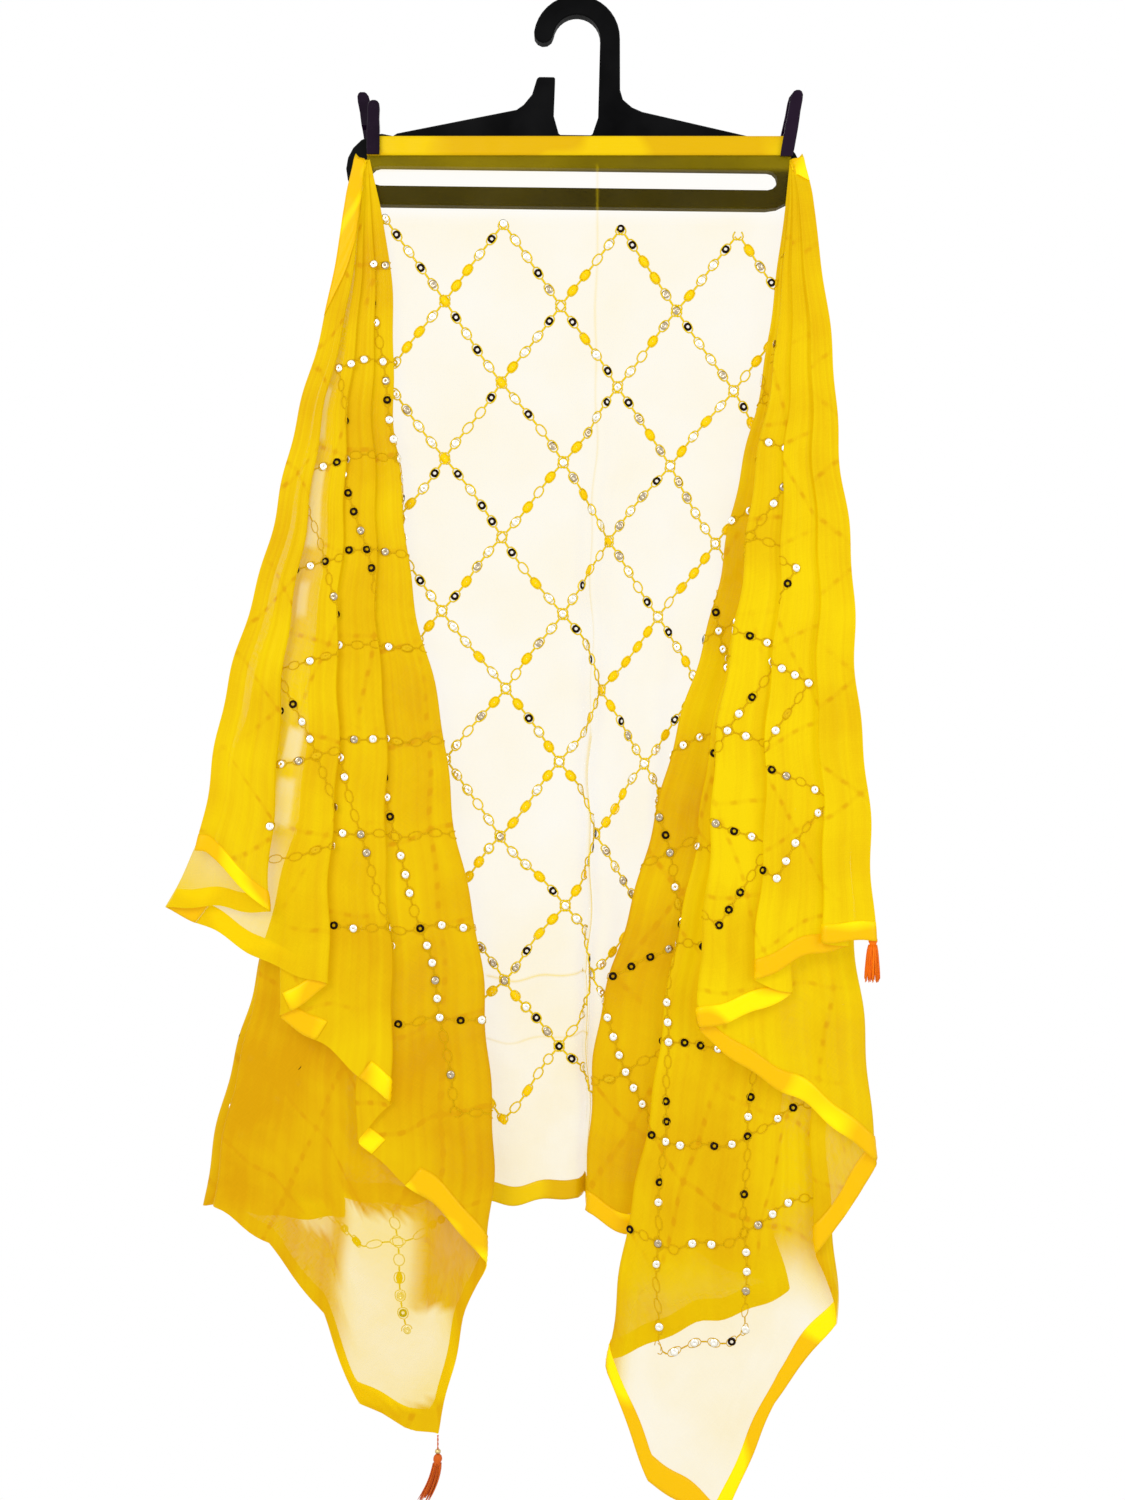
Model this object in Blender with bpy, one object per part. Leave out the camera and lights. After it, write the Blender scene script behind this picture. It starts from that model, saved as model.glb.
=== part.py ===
"""Dupatta stole pegged by its long edge across a clothes hanger.

Metres. +X runs along the hanger, +Y away from the wearer's side of the cloth, +Z up. The origin is the
inside top of the hanger's hook, where a rail carries it.

The cloth is one rectangle. Two pegs clamp its long top edge to the hanger's bar. Between the pegs it
hangs as one panel. Beyond each peg it falls as a fan: a quarter of the plane round the peg, folded like
an accordion between hanging rays, the panel at its back and the top edge at its front. A fan's points
are given by their angle on the flat cloth (0 straight down, 90 along the top edge) and their distance
from the peg, and FOLD tables say where each fold line hangs.
"""
import math
from collections import namedtuple

import bmesh
import bpy
import numpy as np

# ---------------------------------------------------------------- driving sizes
CLOTH_LENGTH = 1.866
CLOTH_WIDTH = 0.996
WALL = 0.0010               # cloth, as a wall
RIBBON_WIDTH = 0.018
RIBBON_WALL = 0.0010
SEAM = 0.0003               # clear gap between pieces

HANGER_DEPTH = 0.012
HANGER_TILT = math.radians(0.7)   # it hangs a little low at +X
HANGER_SPAN = 0.4270
BAR_TOP_Z = -0.1137
BAR_LOW_Z = -0.1800
SLOT_LENGTH = 0.3816
SLOT_HEIGHT = 0.0184
SLOT_Z = -0.1530
HOOK_INNER = 0.0220
HOOK_OUTER = 0.0405
HOOK_END = 172.0            # where the hook stops, degrees anticlockwise from +X
EDGE_ROUND = 0.0015

PIVOT_Z = -0.1250           # height of the pegs' grip
PIVOT_DROP = 0.0103         # how far the grip lies below the cloth's top edge
GRIP_Y = -HANGER_DEPTH / 2 - SEAM - WALL / 2
PANEL_Y = -0.0100           # the cloth below the grip hangs a little forward of the bar
BAR_RIM = 0.0090            # it leaves the bar this far below the grip, and is clear as far again
FAN_START = 0.060           # inner end of the folded layers
FALL_START = 0.012          # inner end of the front layer
PLEAT_FROM = -0.020         # the panel's middle pleat, along the cloth
PLEAT_TO = 0.030

# ---------------------------------------------------------------- fold tables
# cloth: angle on the flat cloth (degrees); hang: angle of the hanging fold line from straight down,
# + to +X (degrees), at each of RADII; reach: how much of its flat length the line hangs at its end;
# gap: depth to the next layer in front, 1 m from the peg (mm). A "pass" row bends no cloth.
Fold = namedtuple("Fold", "name kind cloth hang reach gap")
RADII = (0.06, 0.25, 0.55, 0.85, 1.10)

LEFT_FOLDS = (
    Fold("panel_side", "pass", 0.0, (0.0, 0.0, 0.0, 0.0, 0.0), 1.000, 0),
    Fold("back", "fold", 9.5, (-5.0, -6.4, -5.4, -8.2, -8.9), 1.000, 9),
    Fold("tuck", "fold", 17.2, (-0.5, -0.5, -1.0, -1.0, -1.4), 0.970, 8),
    Fold("low_side", "fold", 24.7, (-5.0, -6.0, -5.0, -7.5, -8.0), 0.917, 9),
    Fold("lower_dip", "pass", 28.0, (-2.8, -3.8, -3.4, -4.7, -4.9), 0.912, 0),
    Fold("lower_edge", "pass", 31.2, (0.0, -1.5, -1.8, -1.9, -1.9), 0.942, 0),
    Fold("lower_turn", "pass", 33.6, (2.5, 0.6, 0.2, 0.0, -0.2), 0.982, 0),
    Fold("corner", "pass", 36.1, (5.0, 2.6, 2.8, 3.2, 3.2), 0.981, 0),
    Fold("inner", "fold", 43.0, (13.0, 6.4, 7.4, 7.9, 5.8), 0.990, 9),
    Fold("step", "fold", 50.5, (3.2, 0.4, 0.1, -0.2, -0.4), 0.990, 6),
    Fold("step_back", "fold", 53.6, (5.0, 2.0, 2.0, 1.9, 1.7), 0.990, 6),
    Fold("pleat", "fold", 61.5, (-3.2, -4.8, -5.4, -5.5, -5.5), 0.990, 6),
    Fold("pleat_back", "fold", 65.5, (-0.6, -3.0, -2.4, -2.2, -2.0), 0.990, 6),
    Fold("loop", "fold", 76.5, (-6.0, -9.3, -11.2, -15.2, -15.2), 0.985, 10),
    Fold("fall", "fold", 83.5, (-3.5, -7.6, -7.8, -5.5, -5.0), 0.987, 9),
    Fold("top_edge", "pass", 90.0, (-7.0, -10.2, -12.1, -11.5, -11.5), 0.935, 0),
)
RIGHT_FOLDS = (
    Fold("panel_side", "pass", 0.0, (0.0, -2.5, -5.0, -4.1, -3.5), 1.000, 0),
    Fold("back", "fold", 3.5, (2.0, 0.5, -1.5, -0.7, -0.5), 1.000, 8),
    Fold("back_inner", "fold", 13.0, (-6.0, -8.0, -10.9, -12.3, -10.0), 1.000, 8),
    Fold("tuck", "fold", 22.5, (1.0, 0.0, -1.6, -2.6, 0.0), 0.995, 8),
    Fold("inner", "fold", 31.3, (-5.0, -6.0, -7.7, -8.5, -8.8), 0.985, 9),
    Fold("lower_edge", "pass", 34.5, (-3.0, -3.8, -5.2, -5.9, -6.2), 1.034, 0),
    Fold("corner", "pass", 37.3, (-1.0, -1.5, -2.6, -3.2, -3.3), 1.032, 0),
    Fold("low_end", "pass", 40.5, (1.0, 0.4, -0.2, -0.6, -0.9), 1.000, 0),
    Fold("step", "fold", 43.8, (3.4, 2.6, 2.1, 1.8, 1.9), 1.000, 6),
    Fold("step_back", "fold", 47.2, (1.6, 1.4, 0.9, 0.8, 1.0), 1.000, 6),
    Fold("tip", "fold", 53.4, (6.0, 5.5, 4.6, 4.2, 5.6), 1.000, 9),
    Fold("zigzag", "fold", 64.0, (-4.0, -6.0, -7.4, -6.3, -6.0), 0.987, 9),
    Fold("pleat", "fold", 71.5, (1.0, 0.2, -0.4, -0.5, -0.5), 0.990, 6),
    Fold("pleat_back", "fold", 75.0, (-0.8, -1.6, -2.9, -3.0, -3.0), 0.990, 6),
    Fold("side", "fold", 84.0, (6.2, 5.0, 3.7, 3.5, 3.5), 0.980, 6),
    Fold("side_back", "fold", 87.0, (4.4, 3.4, 1.9, 1.6, 1.6), 0.980, 6),
    Fold("top_edge", "pass", 90.0, (7.0, 6.1, 4.8, 4.5, 4.5), 0.977, 0),
)

# wing: peg_x and peg_u place the peg in space and on the flat cloth; side is -1 left, +1 right;
# stretches name the runs between fold rows that are solids of their own.
Wing = namedtuple("Wing", "name side peg_x peg_u folds stretches")
LEFT = Wing("left", -1, -0.1965, -0.215, LEFT_FOLDS, (
    ("back", "panel_side", "back"),
    ("tuck", "back", "low_side"),
    ("corner", "low_side", "inner"),
    ("inner", "inner", "pleat"),
    ("side", "pleat", "loop"),
    ("fall", "loop", "top_edge"),
))
RIGHT = Wing("right", 1, 0.2002, 0.181, RIGHT_FOLDS, (
    ("back", "panel_side", "back_inner"),
    ("tuck", "back_inner", "inner"),
    ("corner", "inner", "tip"),
    ("middle", "tip", "zigzag"),
    ("front", "zigzag", "side"),
    ("fall", "side", "top_edge"),
))


# ---------------------------------------------------------------- cloth as a mapping
def smooth(x):
    """0 to 1 ease of x, clamped."""
    x = np.clip(x, 0.0, 1.0)
    return x * x * (3.0 - 2.0 * x)


def curve_through(x, xs, ys):
    """Smooth curve through (xs, ys), read at x, level past its ends."""
    xs = np.asarray(xs, float)
    ys = np.asarray(ys, float)
    slope = np.gradient(ys, xs)
    x = np.clip(x, xs[0], xs[-1])
    i = np.clip(np.searchsorted(xs, x, side="right") - 1, 0, len(xs) - 2)
    h = xs[i + 1] - xs[i]
    t = (x - xs[i]) / h
    return ((2 * t**3 - 3 * t**2 + 1) * ys[i] + (t**3 - 2 * t**2 + t) * h * slope[i]
            + (-2 * t**3 + 3 * t**2) * ys[i + 1] + (t**3 - t**2) * h * slope[i + 1])


def wing_limit(wing, theta, inset=0.0):
    """Distance from the peg to the cloth's edge along flat angle theta (radians), less a border."""
    end = CLOTH_LENGTH / 2 - abs(wing.peg_u) - inset
    lower = CLOTH_WIDTH - PIVOT_DROP - inset
    return np.minimum(end / np.maximum(np.sin(theta), 1e-6),
                      np.where(np.cos(theta) > 1e-6, lower / np.maximum(np.cos(theta), 1e-6), 1e6))


def corner_angle(wing):
    return math.atan2(CLOTH_LENGTH / 2 - abs(wing.peg_u), CLOTH_WIDTH - PIVOT_DROP)


def back_depth(r):
    """Depth of the hanging panel at distance r below the grip."""
    return GRIP_Y + (PANEL_Y - GRIP_Y) * smooth((r - BAR_RIM) / BAR_RIM)


PINCHED = 0.26              # share of a layer's gap that is open where the fan starts
PINCH_END = 0.008           # distance from the peg within which the layers lie together
MOST_SPREAD = 1.4


def layer_spread(r):
    """Share of a layer's gap that is open at distance r from the peg, 1 at a metre."""
    near = PINCHED * smooth((r - PINCH_END) / (FAN_START - PINCH_END))
    return near + (1.0 - PINCHED) * np.clip((r - FAN_START) / (1.0 - FAN_START), 0.0, MOST_SPREAD)


def fan_points(wing, theta, r):
    """Points of the fan at flat angle theta (radians) and flat distance r, arrays of one shape."""
    theta, r = np.broadcast_arrays(np.asarray(theta, float), np.asarray(r, float))
    degrees = np.degrees(theta)
    rows = wing.folds
    cloth = np.array([row.cloth for row in rows])
    share = np.clip(r / wing_limit(wing, theta), 0.0, 1.0)
    reach = np.interp(degrees, cloth, [row.reach for row in rows])
    distance = r * (1.0 + (reach - 1.0) * share**2)
    hang = [np.radians(curve_through(r, RADII, row.hang)) for row in rows]
    cross = [distance * np.sin(angle) for angle in hang]

    # depth of each run between rows: a fold steps forward, a pass does not
    spread = layer_spread(r)
    gap_sum = 0.0
    plane = []
    for row in rows[:-1]:
        gap_sum += row.gap * 0.001
        plane.append(back_depth(r) - gap_sum * spread)

    x = np.zeros_like(r)
    y = np.zeros_like(r)
    for i in range(len(rows) - 1):
        inside = (degrees >= cloth[i]) & (degrees <= cloth[i + 1])
        if i == 0:
            inside |= degrees < cloth[0]
        if not inside.any():
            continue
        q = np.clip((degrees - cloth[i]) / (cloth[i + 1] - cloth[i]), 0.0, 1.0)
        span = cross[i + 1] - cross[i]
        heading = np.sign(span)
        rise = [0.0, 0.0]
        if rows[i].kind == "fold":
            rise[0] = (plane[i - 1] - plane[i]) / 2
        if rows[i + 1].kind == "fold":
            rise[1] = (plane[i] - plane[i + 1]) / 2
        turn = [np.minimum(np.abs(part), 0.45 * np.abs(span)) for part in rise]
        arc = [np.hypot(turn[k], np.abs(rise[k])) * math.pi / 2 / math.sqrt(2.0) for k in (0, 1)]
        straight = np.maximum(np.abs(span) - turn[0] - turn[1], 1e-9)
        length = arc[0] + straight + arc[1]
        s = q * length
        first = s < arc[0]
        last = s > arc[0] + straight
        a0 = np.where(arc[0] > 0, s / np.maximum(arc[0], 1e-12), 1.0) * math.pi / 2
        a1 = np.where(arc[1] > 0, (length - s) / np.maximum(arc[1], 1e-12), 1.0) * math.pi / 2
        x_run = cross[i] + heading * (turn[0] + (s - arc[0]))
        y_run = plane[i]
        x_run = np.where(first, cross[i] + heading * turn[0] * (1 - np.cos(a0)), x_run)
        y_run = np.where(first, plane[i] + rise[0] * (1 - np.sin(a0)), y_run)
        x_run = np.where(last, cross[i + 1] - heading * turn[1] * (1 - np.cos(a1)), x_run)
        y_run = np.where(last, plane[i] - rise[1] * (1 - np.sin(a1)), y_run)
        x = np.where(inside, x_run, x)
        y = np.where(inside, y_run, y)

    # past the last ray the top border swings on outward round the peg
    past = degrees > cloth[-1]
    swing = hang[-1] + wing.side * (theta - math.radians(cloth[-1]))
    x = np.where(past, distance * np.sin(swing), x)
    y = np.where(past, plane[-1], y)
    down = np.sqrt(np.maximum(distance**2 - x**2, 0.0))
    return np.stack([wing.peg_x + x, y, PIVOT_Z - down], axis=-1)


PLEAT_SHARE = 0.45          # of what the right side is drawn in, how much the middle pleat takes up
PLEAT_DEPTH = 0.19          # depth of the pleat's two waves, and of the three waves beside it, of the same
WAVE_DEPTH = 0.10


def panel_points(u, v):
    """Points of the panel between the pegs, u along the cloth from its middle, v down from its top."""
    u, v = np.broadcast_arrays(np.asarray(u, float), np.asarray(v, float))
    r = np.maximum(v - PIVOT_DROP, 0.0)
    side_angle = np.radians(curve_through(r, RADII, RIGHT_FOLDS[0].hang))
    drawn = -r * np.sin(side_angle)                       # how far the right side is drawn in
    pleat = (u - PLEAT_FROM) / (PLEAT_TO - PLEAT_FROM)
    rest = np.clip((u - PLEAT_TO) / (RIGHT.peg_u - PLEAT_TO), 0.0, 1.0)
    across = (u - LEFT.peg_u) / (RIGHT.peg_u - LEFT.peg_u)
    drawn_here = drawn * (PLEAT_SHARE * smooth(pleat) + (1.0 - PLEAT_SHARE) * rest)
    x = LEFT.peg_x + across * (RIGHT.peg_x - LEFT.peg_x) - drawn_here
    z = PIVOT_Z - (v - PIVOT_DROP) * (1.0 - (1.0 - np.cos(side_angle)) * across)
    pleat_turn = 2 * 2 * math.pi * np.clip(pleat, 0.0, 1.0)
    y = back_depth(r) + PLEAT_DEPTH * drawn * (1.0 - np.cos(pleat_turn))
    y = y + WAVE_DEPTH * drawn * (1.0 - np.cos(3 * 2 * math.pi * rest))
    return np.stack([x, y, z], axis=-1)


def normals_of(surface, a, b, step_a, step_b, side):
    """Unit normals of surface(a, b) from central differences, on the cloth's right side."""
    along = surface(a + step_a, b) - surface(a - step_a, b)
    down = surface(a, b + step_b) - surface(a, b - step_b)
    normal = -side * np.cross(along, down)
    return normal / np.maximum(np.linalg.norm(normal, axis=-1, keepdims=True), 1e-12)


# ---------------------------------------------------------------- solids from grids
def material(name, colour, roughness, metallic=0.0):
    found = bpy.data.materials.get(name)
    if found:
        return found
    made = bpy.data.materials.new(name)
    made.use_nodes = True
    shader = made.node_tree.nodes["Principled BSDF"]
    shader.inputs["Base Color"].default_value = (*colour, 1.0)
    shader.inputs["Roughness"].default_value = roughness
    shader.inputs["Metallic"].default_value = metallic
    return made


def organza():
    return material("organza", (0.90, 0.72, 0.05), 0.55)


def satin():
    return material("satin_ribbon", (0.93, 0.72, 0.02), 0.30)


def floss():
    return material("tassel_floss", (0.85, 0.20, 0.03), 0.70)


def black_plastic():
    return material("black_plastic", (0.012, 0.012, 0.014), 0.40)


def peg_plastic():
    return material("peg_plastic", (0.05, 0.012, 0.07), 0.25)


def steel():
    return material("spring_steel", (0.60, 0.60, 0.62), 0.35, 1.0)


def add_object(name, bm, skin, sharp_degrees=35.0):
    """Turn a bmesh into a named object with outward faces."""
    bm.normal_update()
    bmesh.ops.recalc_face_normals(bm, faces=bm.faces)
    mesh = bpy.data.meshes.new(name)
    bm.to_mesh(mesh)
    bm.free()
    mesh.materials.append(skin)
    mesh.shade_smooth()
    mesh.set_sharp_from_angle(angle=math.radians(sharp_degrees))
    made = bpy.data.objects.new(name, mesh)
    bpy.context.scene.collection.objects.link(made)
    return made


def wall_from_grid(name, middle, normal, thickness, lift, skin):
    """Closed wall round a grid of middle points, moved out along its normals by lift."""
    columns, rows = middle.shape[:2]
    bm = bmesh.new()
    sheets = []
    for shift in (lift + thickness / 2, lift - thickness / 2):
        points = middle + normal * shift
        sheets.append([[bm.verts.new(points[i, j]) for j in range(rows)] for i in range(columns)])
    front, rear = sheets
    for i in range(columns - 1):
        for j in range(rows - 1):
            bm.faces.new((front[i][j], front[i + 1][j], front[i + 1][j + 1], front[i][j + 1]))
            bm.faces.new((rear[i][j], rear[i][j + 1], rear[i + 1][j + 1], rear[i + 1][j]))
    border = [(i, 0) for i in range(columns)] + [(columns - 1, j) for j in range(1, rows)]
    border += [(i, rows - 1) for i in range(columns - 2, -1, -1)] + [(0, j) for j in range(rows - 2, 0, -1)]
    for (i, j), (k, m) in zip(border, border[1:] + border[:1]):
        bm.faces.new((front[i][j], rear[i][j], rear[k][m], front[k][m]))
    return add_object(name, bm, skin)


def part_at_seams(middle, ends=(True, True, False, False)):
    """Draw the grid's chosen sides (first, last column; first, last row) in by half a seam."""
    middle = middle.copy()
    for chosen, edge, inner in ((ends[0], np.s_[0], np.s_[1]), (ends[1], np.s_[-1], np.s_[-2]),
                                (ends[2], np.s_[:, 0], np.s_[:, 1]), (ends[3], np.s_[:, -1], np.s_[:, -2])):
        if chosen:
            way = middle[inner] - middle[edge]
            middle[edge] += way / np.linalg.norm(way, axis=-1, keepdims=True) * SEAM / 2
    return middle


# ---------------------------------------------------------------- fans
RUN_STEP = 0.050            # width of a flat facet across a layer
HEM_REACH = 0.80            # from the peg to the hem, as columns are spaced
MOST_TURN = 0.35            # of a run, that its fold takes up
ROWS = 11                   # rows of a fan between its inner end and its border
ROW_CROWDING = 1.15         # rows lie a little closer together near the peg
INNER_SINE, OUTER_SINE = 0.10, 0.80       # most that the top border turns round the peg, as sines
BORDER_LEAST = math.radians(0.4)          # and its least width, as an angle
GATHER_PLEATS = 2
GATHER_RIPPLE = 0.0005
RIPPLE_RISE = 0.040         # the ripple grows to its height over this length
GATHER_DROP = 0.020         # the gather comes level with the layers over this length


def fold_columns(wing, first, last, r):
    """Flat angles (radians) of the columns from one row of the table to another, at distance r."""
    rows = wing.folds
    names = [row.name for row in rows]
    columns = []
    for i in range(names.index(first), names.index(last)):
        a, b = rows[i], rows[i + 1]
        width = math.radians(b.cloth - a.cloth)
        quarter = math.pi / 2 * 0.0005 * layer_spread(r) / (r * width)
        turn = [min(quarter * row.gap, MOST_TURN) if row.kind == "fold" else 0.0 for row in (a, b)]
        fractions = [0.0]
        if turn[0]:
            fractions += [turn[0] / 2, turn[0]]
        count = max(1, round(HEM_REACH * width / RUN_STEP))
        fractions += [turn[0] + (1.0 - turn[0] - turn[1]) * k / count for k in range(1, count)]
        if turn[1]:
            fractions += [1.0 - turn[1], 1.0 - turn[1] / 2]
        elif count == 1 and not turn[0]:
            fractions += [0.5]
        columns += [math.radians(a.cloth + (b.cloth - a.cloth) * f) for f in fractions]
    columns.append(math.radians(rows[names.index(last)].cloth))
    corner = corner_angle(wing)
    if columns[0] < corner < columns[-1]:
        near = int(np.argmin([abs(angle - corner) for angle in columns]))
        columns[near] = corner
    return np.array(columns)


def border_angles(r):
    """Flat angles of the top border's inner and outer line at distance r."""
    inner = math.pi / 2 - np.arcsin(np.clip((RIBBON_WIDTH - PIVOT_DROP) / r, 0.0, INNER_SINE))
    outer = math.pi / 2 + np.arcsin(np.clip(PIVOT_DROP / r, 0.0, OUTER_SINE))
    return inner, outer


def fan_grid(wing, first, last, start):
    """Flat angles and distances of a stretch: a column per angle, the last two rows the border."""
    columns = fold_columns(wing, first, last, HEM_REACH)
    open_edge = last == "top_edge"
    if open_edge:
        columns = np.append(columns[:-1], [columns[-1], columns[-1]])
    share = np.linspace(0.0, 1.0, ROWS) ** ROW_CROWDING
    theta = np.repeat(columns[:, None], ROWS + 1, axis=1)
    for j in range(ROWS):
        above_hem = fold_columns(wing, first, last, start + (HEM_REACH - start) * share[j])
        theta[:len(above_hem), j] = above_hem
    inner_limit = wing_limit(wing, columns, RIBBON_WIDTH)
    limit = wing_limit(wing, columns)
    r = np.concatenate([start + (inner_limit - start)[:, None] * share[None, :], limit[:, None]], axis=1)
    if open_edge:
        inner, outer = border_angles(r[-1])
        theta[-2] = np.maximum(inner, theta[-3] + BORDER_LEAST)
        theta[-1] = outer
    return theta, r


def build_fan(wing):
    """Every stretch of one fan, its end and lower borders and its top border."""
    def surface(theta, r):
        return fan_points(wing, theta, r)

    grids = []
    for name, first, last in wing.stretches:
        theta, r = fan_grid(wing, first, last, FAN_START)
        middle = surface(theta, r)
        normal = normals_of(surface, theta, r, 2e-4, 2e-4, wing.side)
        grids.append((theta, r, middle, normal))
        seams = (True, last != "top_edge", last == "top_edge", False)
        wall_from_grid(f"{wing.name}_{name}", part_at_seams(middle, seams), normal, WALL, 0.0, organza())

    lift = WALL / 2 + SEAM + RIBBON_WALL / 2
    # the last two rows of all stretches, end to end, carry the lower and the end border
    angles = np.concatenate([grids[0][0][:, -2:]] + [grid[0][1:, -2:] for grid in grids[1:]])
    middle = np.concatenate([grids[0][2][:, -2:]] + [grid[2][1:, -2:] for grid in grids[1:]])
    normal = np.concatenate([grids[0][3][:, -2:]] + [grid[3][1:, -2:] for grid in grids[1:]])
    corner = int(np.argmin(np.abs(angles[:, 1] - corner_angle(wing))))
    for name, run in (("lower_ribbon", slice(0, corner + 1)), ("end_ribbon", slice(corner, None))):
        ends = (True, name == "lower_ribbon", False, False)
        wall_from_grid(f"{wing.name}_{name}", part_at_seams(middle[run], ends), normal[run],
                       RIBBON_WALL, lift, satin())
    grip_middle, grip_normal = build_gather(wing)
    theta, r, middle, normal = grids[-1]
    for name, points, out in (("top_ribbon", middle[-2:, :-1], normal[-2:, :-1]),
                              ("grip_ribbon", grip_middle[-2:], grip_normal[-2:])):
        wall_from_grid(f"{wing.name}_{name}", part_at_seams(points, (False, False, True, True)), out,
                       RIBBON_WALL, lift, satin())


def build_gather(wing):
    """The cloth bunched under the peg: one rippled wall from the grip down to the folded layers."""
    rows = {row.name: row for row in wing.folds}
    inner_hang = math.radians(rows["inner"].hang[0])
    outer_hang = math.radians(rows["top_edge"].hang[0])
    depth = sum(row.gap for row in wing.folds) * 0.001

    def surface(share, r):
        inner_line, outer_line = border_angles(r)
        hang = inner_hang + (outer_hang - inner_hang) * np.clip(share, 0.0, 1.0)
        hang = hang + wing.side * (outer_line - math.pi / 2) * np.clip(share - 1.0, 0.0, 1.0)
        ripple = GATHER_RIPPLE * smooth((r - FALL_START) / RIPPLE_RISE)
        ripple = ripple * np.cos(GATHER_PLEATS * 2 * math.pi * share)
        clear = (WALL + 2 * SEAM) * smooth((FAN_START - r) / GATHER_DROP)
        y = back_depth(r) - clear - depth * layer_spread(r) + ripple
        return np.stack([wing.peg_x + r * np.sin(hang), y, PIVOT_Z - r * np.cos(hang)], axis=-1)

    share = np.concatenate([np.linspace(0.0, 1.0, 2 * GATHER_PLEATS + 1), [2.0]])
    distance = np.linspace(FALL_START, FAN_START - 2 * SEAM, 5)
    share, r = np.meshgrid(share, distance, indexing="ij")
    middle = surface(share, r)
    normal = normals_of(surface, share, r, 1e-3, 2e-4, wing.side)
    wall_from_grid(f"{wing.name}_gather", part_at_seams(middle, (False, False, False, True)), normal,
                   WALL, 0.0, organza())
    return middle, normal


def build_panel():
    """The panel between the pegs and its top and lower borders."""
    across = np.concatenate([np.linspace(LEFT.peg_u, PLEAT_FROM, 6)[:-1],
                             np.linspace(PLEAT_FROM, PLEAT_TO, 9),
                             np.linspace(PLEAT_TO, RIGHT.peg_u, 13)[1:]])
    below = fan_grid(RIGHT, "panel_side", "back", FAN_START)[1][0]      # the fans' own rows
    down = np.concatenate([[0.0, RIBBON_WIDTH, 0.045], PIVOT_DROP + below])
    u, v = np.meshgrid(across, down, indexing="ij")
    middle = panel_points(u, v)
    normal = normals_of(panel_points, u, v, 2e-4, 2e-4, 1)
    wall_from_grid("middle_panel", part_at_seams(middle), normal, WALL, 0.0, organza())
    lift = WALL / 2 + SEAM + RIBBON_WALL / 2
    for name, rows in (("middle_top_ribbon", slice(0, 2)), ("middle_lower_ribbon", slice(-2, None))):
        wall_from_grid(name, part_at_seams(middle[:, rows]), normal[:, rows], RIBBON_WALL, lift, satin())


# ---------------------------------------------------------------- hanger
def arc(cx, cz, radius, start, end, count):
    """Points of an arc in the XZ plane, degrees, anticlockwise from +X."""
    return [(cx + radius * math.cos(math.radians(start + (end - start) * k / count)),
             cz + radius * math.sin(math.radians(start + (end - start) * k / count)))
            for k in range(count + 1)]


def build_hanger():
    """Flat moulded hanger: a slotted bar, two shoulders, and a hook open on its left."""
    half = HANGER_SPAN / 2
    end_radius = (BAR_TOP_Z - BAR_LOW_Z) / 2
    middle_z = (BAR_TOP_Z + BAR_LOW_Z) / 2
    middle_x = -0.0011
    hook_z = -HOOK_INNER
    tip_radius = (HOOK_OUTER - HOOK_INNER) / 2
    tip = arc(0.0, hook_z, HOOK_INNER + tip_radius, HOOK_END, HOOK_END, 1)[0]

    outline = arc(middle_x - half + end_radius, middle_z, end_radius, 270, 90, 10)
    outline += [(-0.1711, BAR_TOP_Z - 0.0020), (-0.1673, -0.1132)]              # strap notch, shoulder
    outline += [(-0.0556, -0.0897), (-0.0490, -0.0849), (-0.0412, -0.0752), (-0.0371, -0.0612)]
    outline += [(-0.0357, -0.0587), (-0.0198, -0.0587), (-0.0208, -0.0949), (-0.0155, BAR_TOP_Z + 0.001)]
    outline += [(0.0155, BAR_TOP_Z + 0.001), (0.0210, -0.0960)]                 # throat below the hook
    outline += arc(0.0, hook_z, HOOK_INNER, 0, HOOK_END, 14)
    outline += arc(*tip, tip_radius, HOOK_END - 180, HOOK_END - 360, 6)[1:-1]
    outline += arc(0.0, hook_z, HOOK_OUTER, HOOK_END, 0, 18)
    outline += [(0.0412, -0.0700), (0.0440, -0.0790), (0.0526, -0.0862), (0.0620, -0.0902)]
    outline += [(0.1654, BAR_TOP_Z + 0.001), (0.1700, BAR_TOP_Z)]
    outline += arc(middle_x + half - end_radius, middle_z, end_radius, 90, -90, 10)

    slot_x = SLOT_LENGTH / 2 - SLOT_HEIGHT / 2
    slot = arc(middle_x - slot_x, SLOT_Z, SLOT_HEIGHT / 2, 270, 90, 6)
    slot += arc(middle_x + slot_x, SLOT_Z, SLOT_HEIGHT / 2, 90, -90, 6)

    bm = bmesh.new()
    edges = []
    for loop in (outline, slot):
        points = [bm.verts.new((x, -HANGER_DEPTH / 2, z)) for x, z in loop]
        edges += [bm.edges.new((points[k], points[(k + 1) % len(points)])) for k in range(len(points))]
    bmesh.ops.triangle_fill(bm, use_beauty=True, edges=edges)
    pushed = bmesh.ops.extrude_face_region(bm, geom=bm.faces[:], use_keep_orig=True)
    moved = [item for item in pushed["geom"] if isinstance(item, bmesh.types.BMVert)]
    bmesh.ops.translate(bm, verts=moved, vec=(0.0, HANGER_DEPTH, 0.0))
    turn = math.cos(HANGER_TILT), math.sin(HANGER_TILT)
    for vert in bm.verts:
        x, z = vert.co.x, vert.co.z
        vert.co.x, vert.co.z = x * turn[0] + z * turn[1], z * turn[0] - x * turn[1]
    hanger = add_object("hanger", bm, black_plastic())
    rounding = hanger.modifiers.new("rounding", "BEVEL")
    rounding.width = EDGE_ROUND
    rounding.segments = 1
    rounding.limit_method = "ANGLE"
    rounding.angle_limit = math.radians(60)


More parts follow.
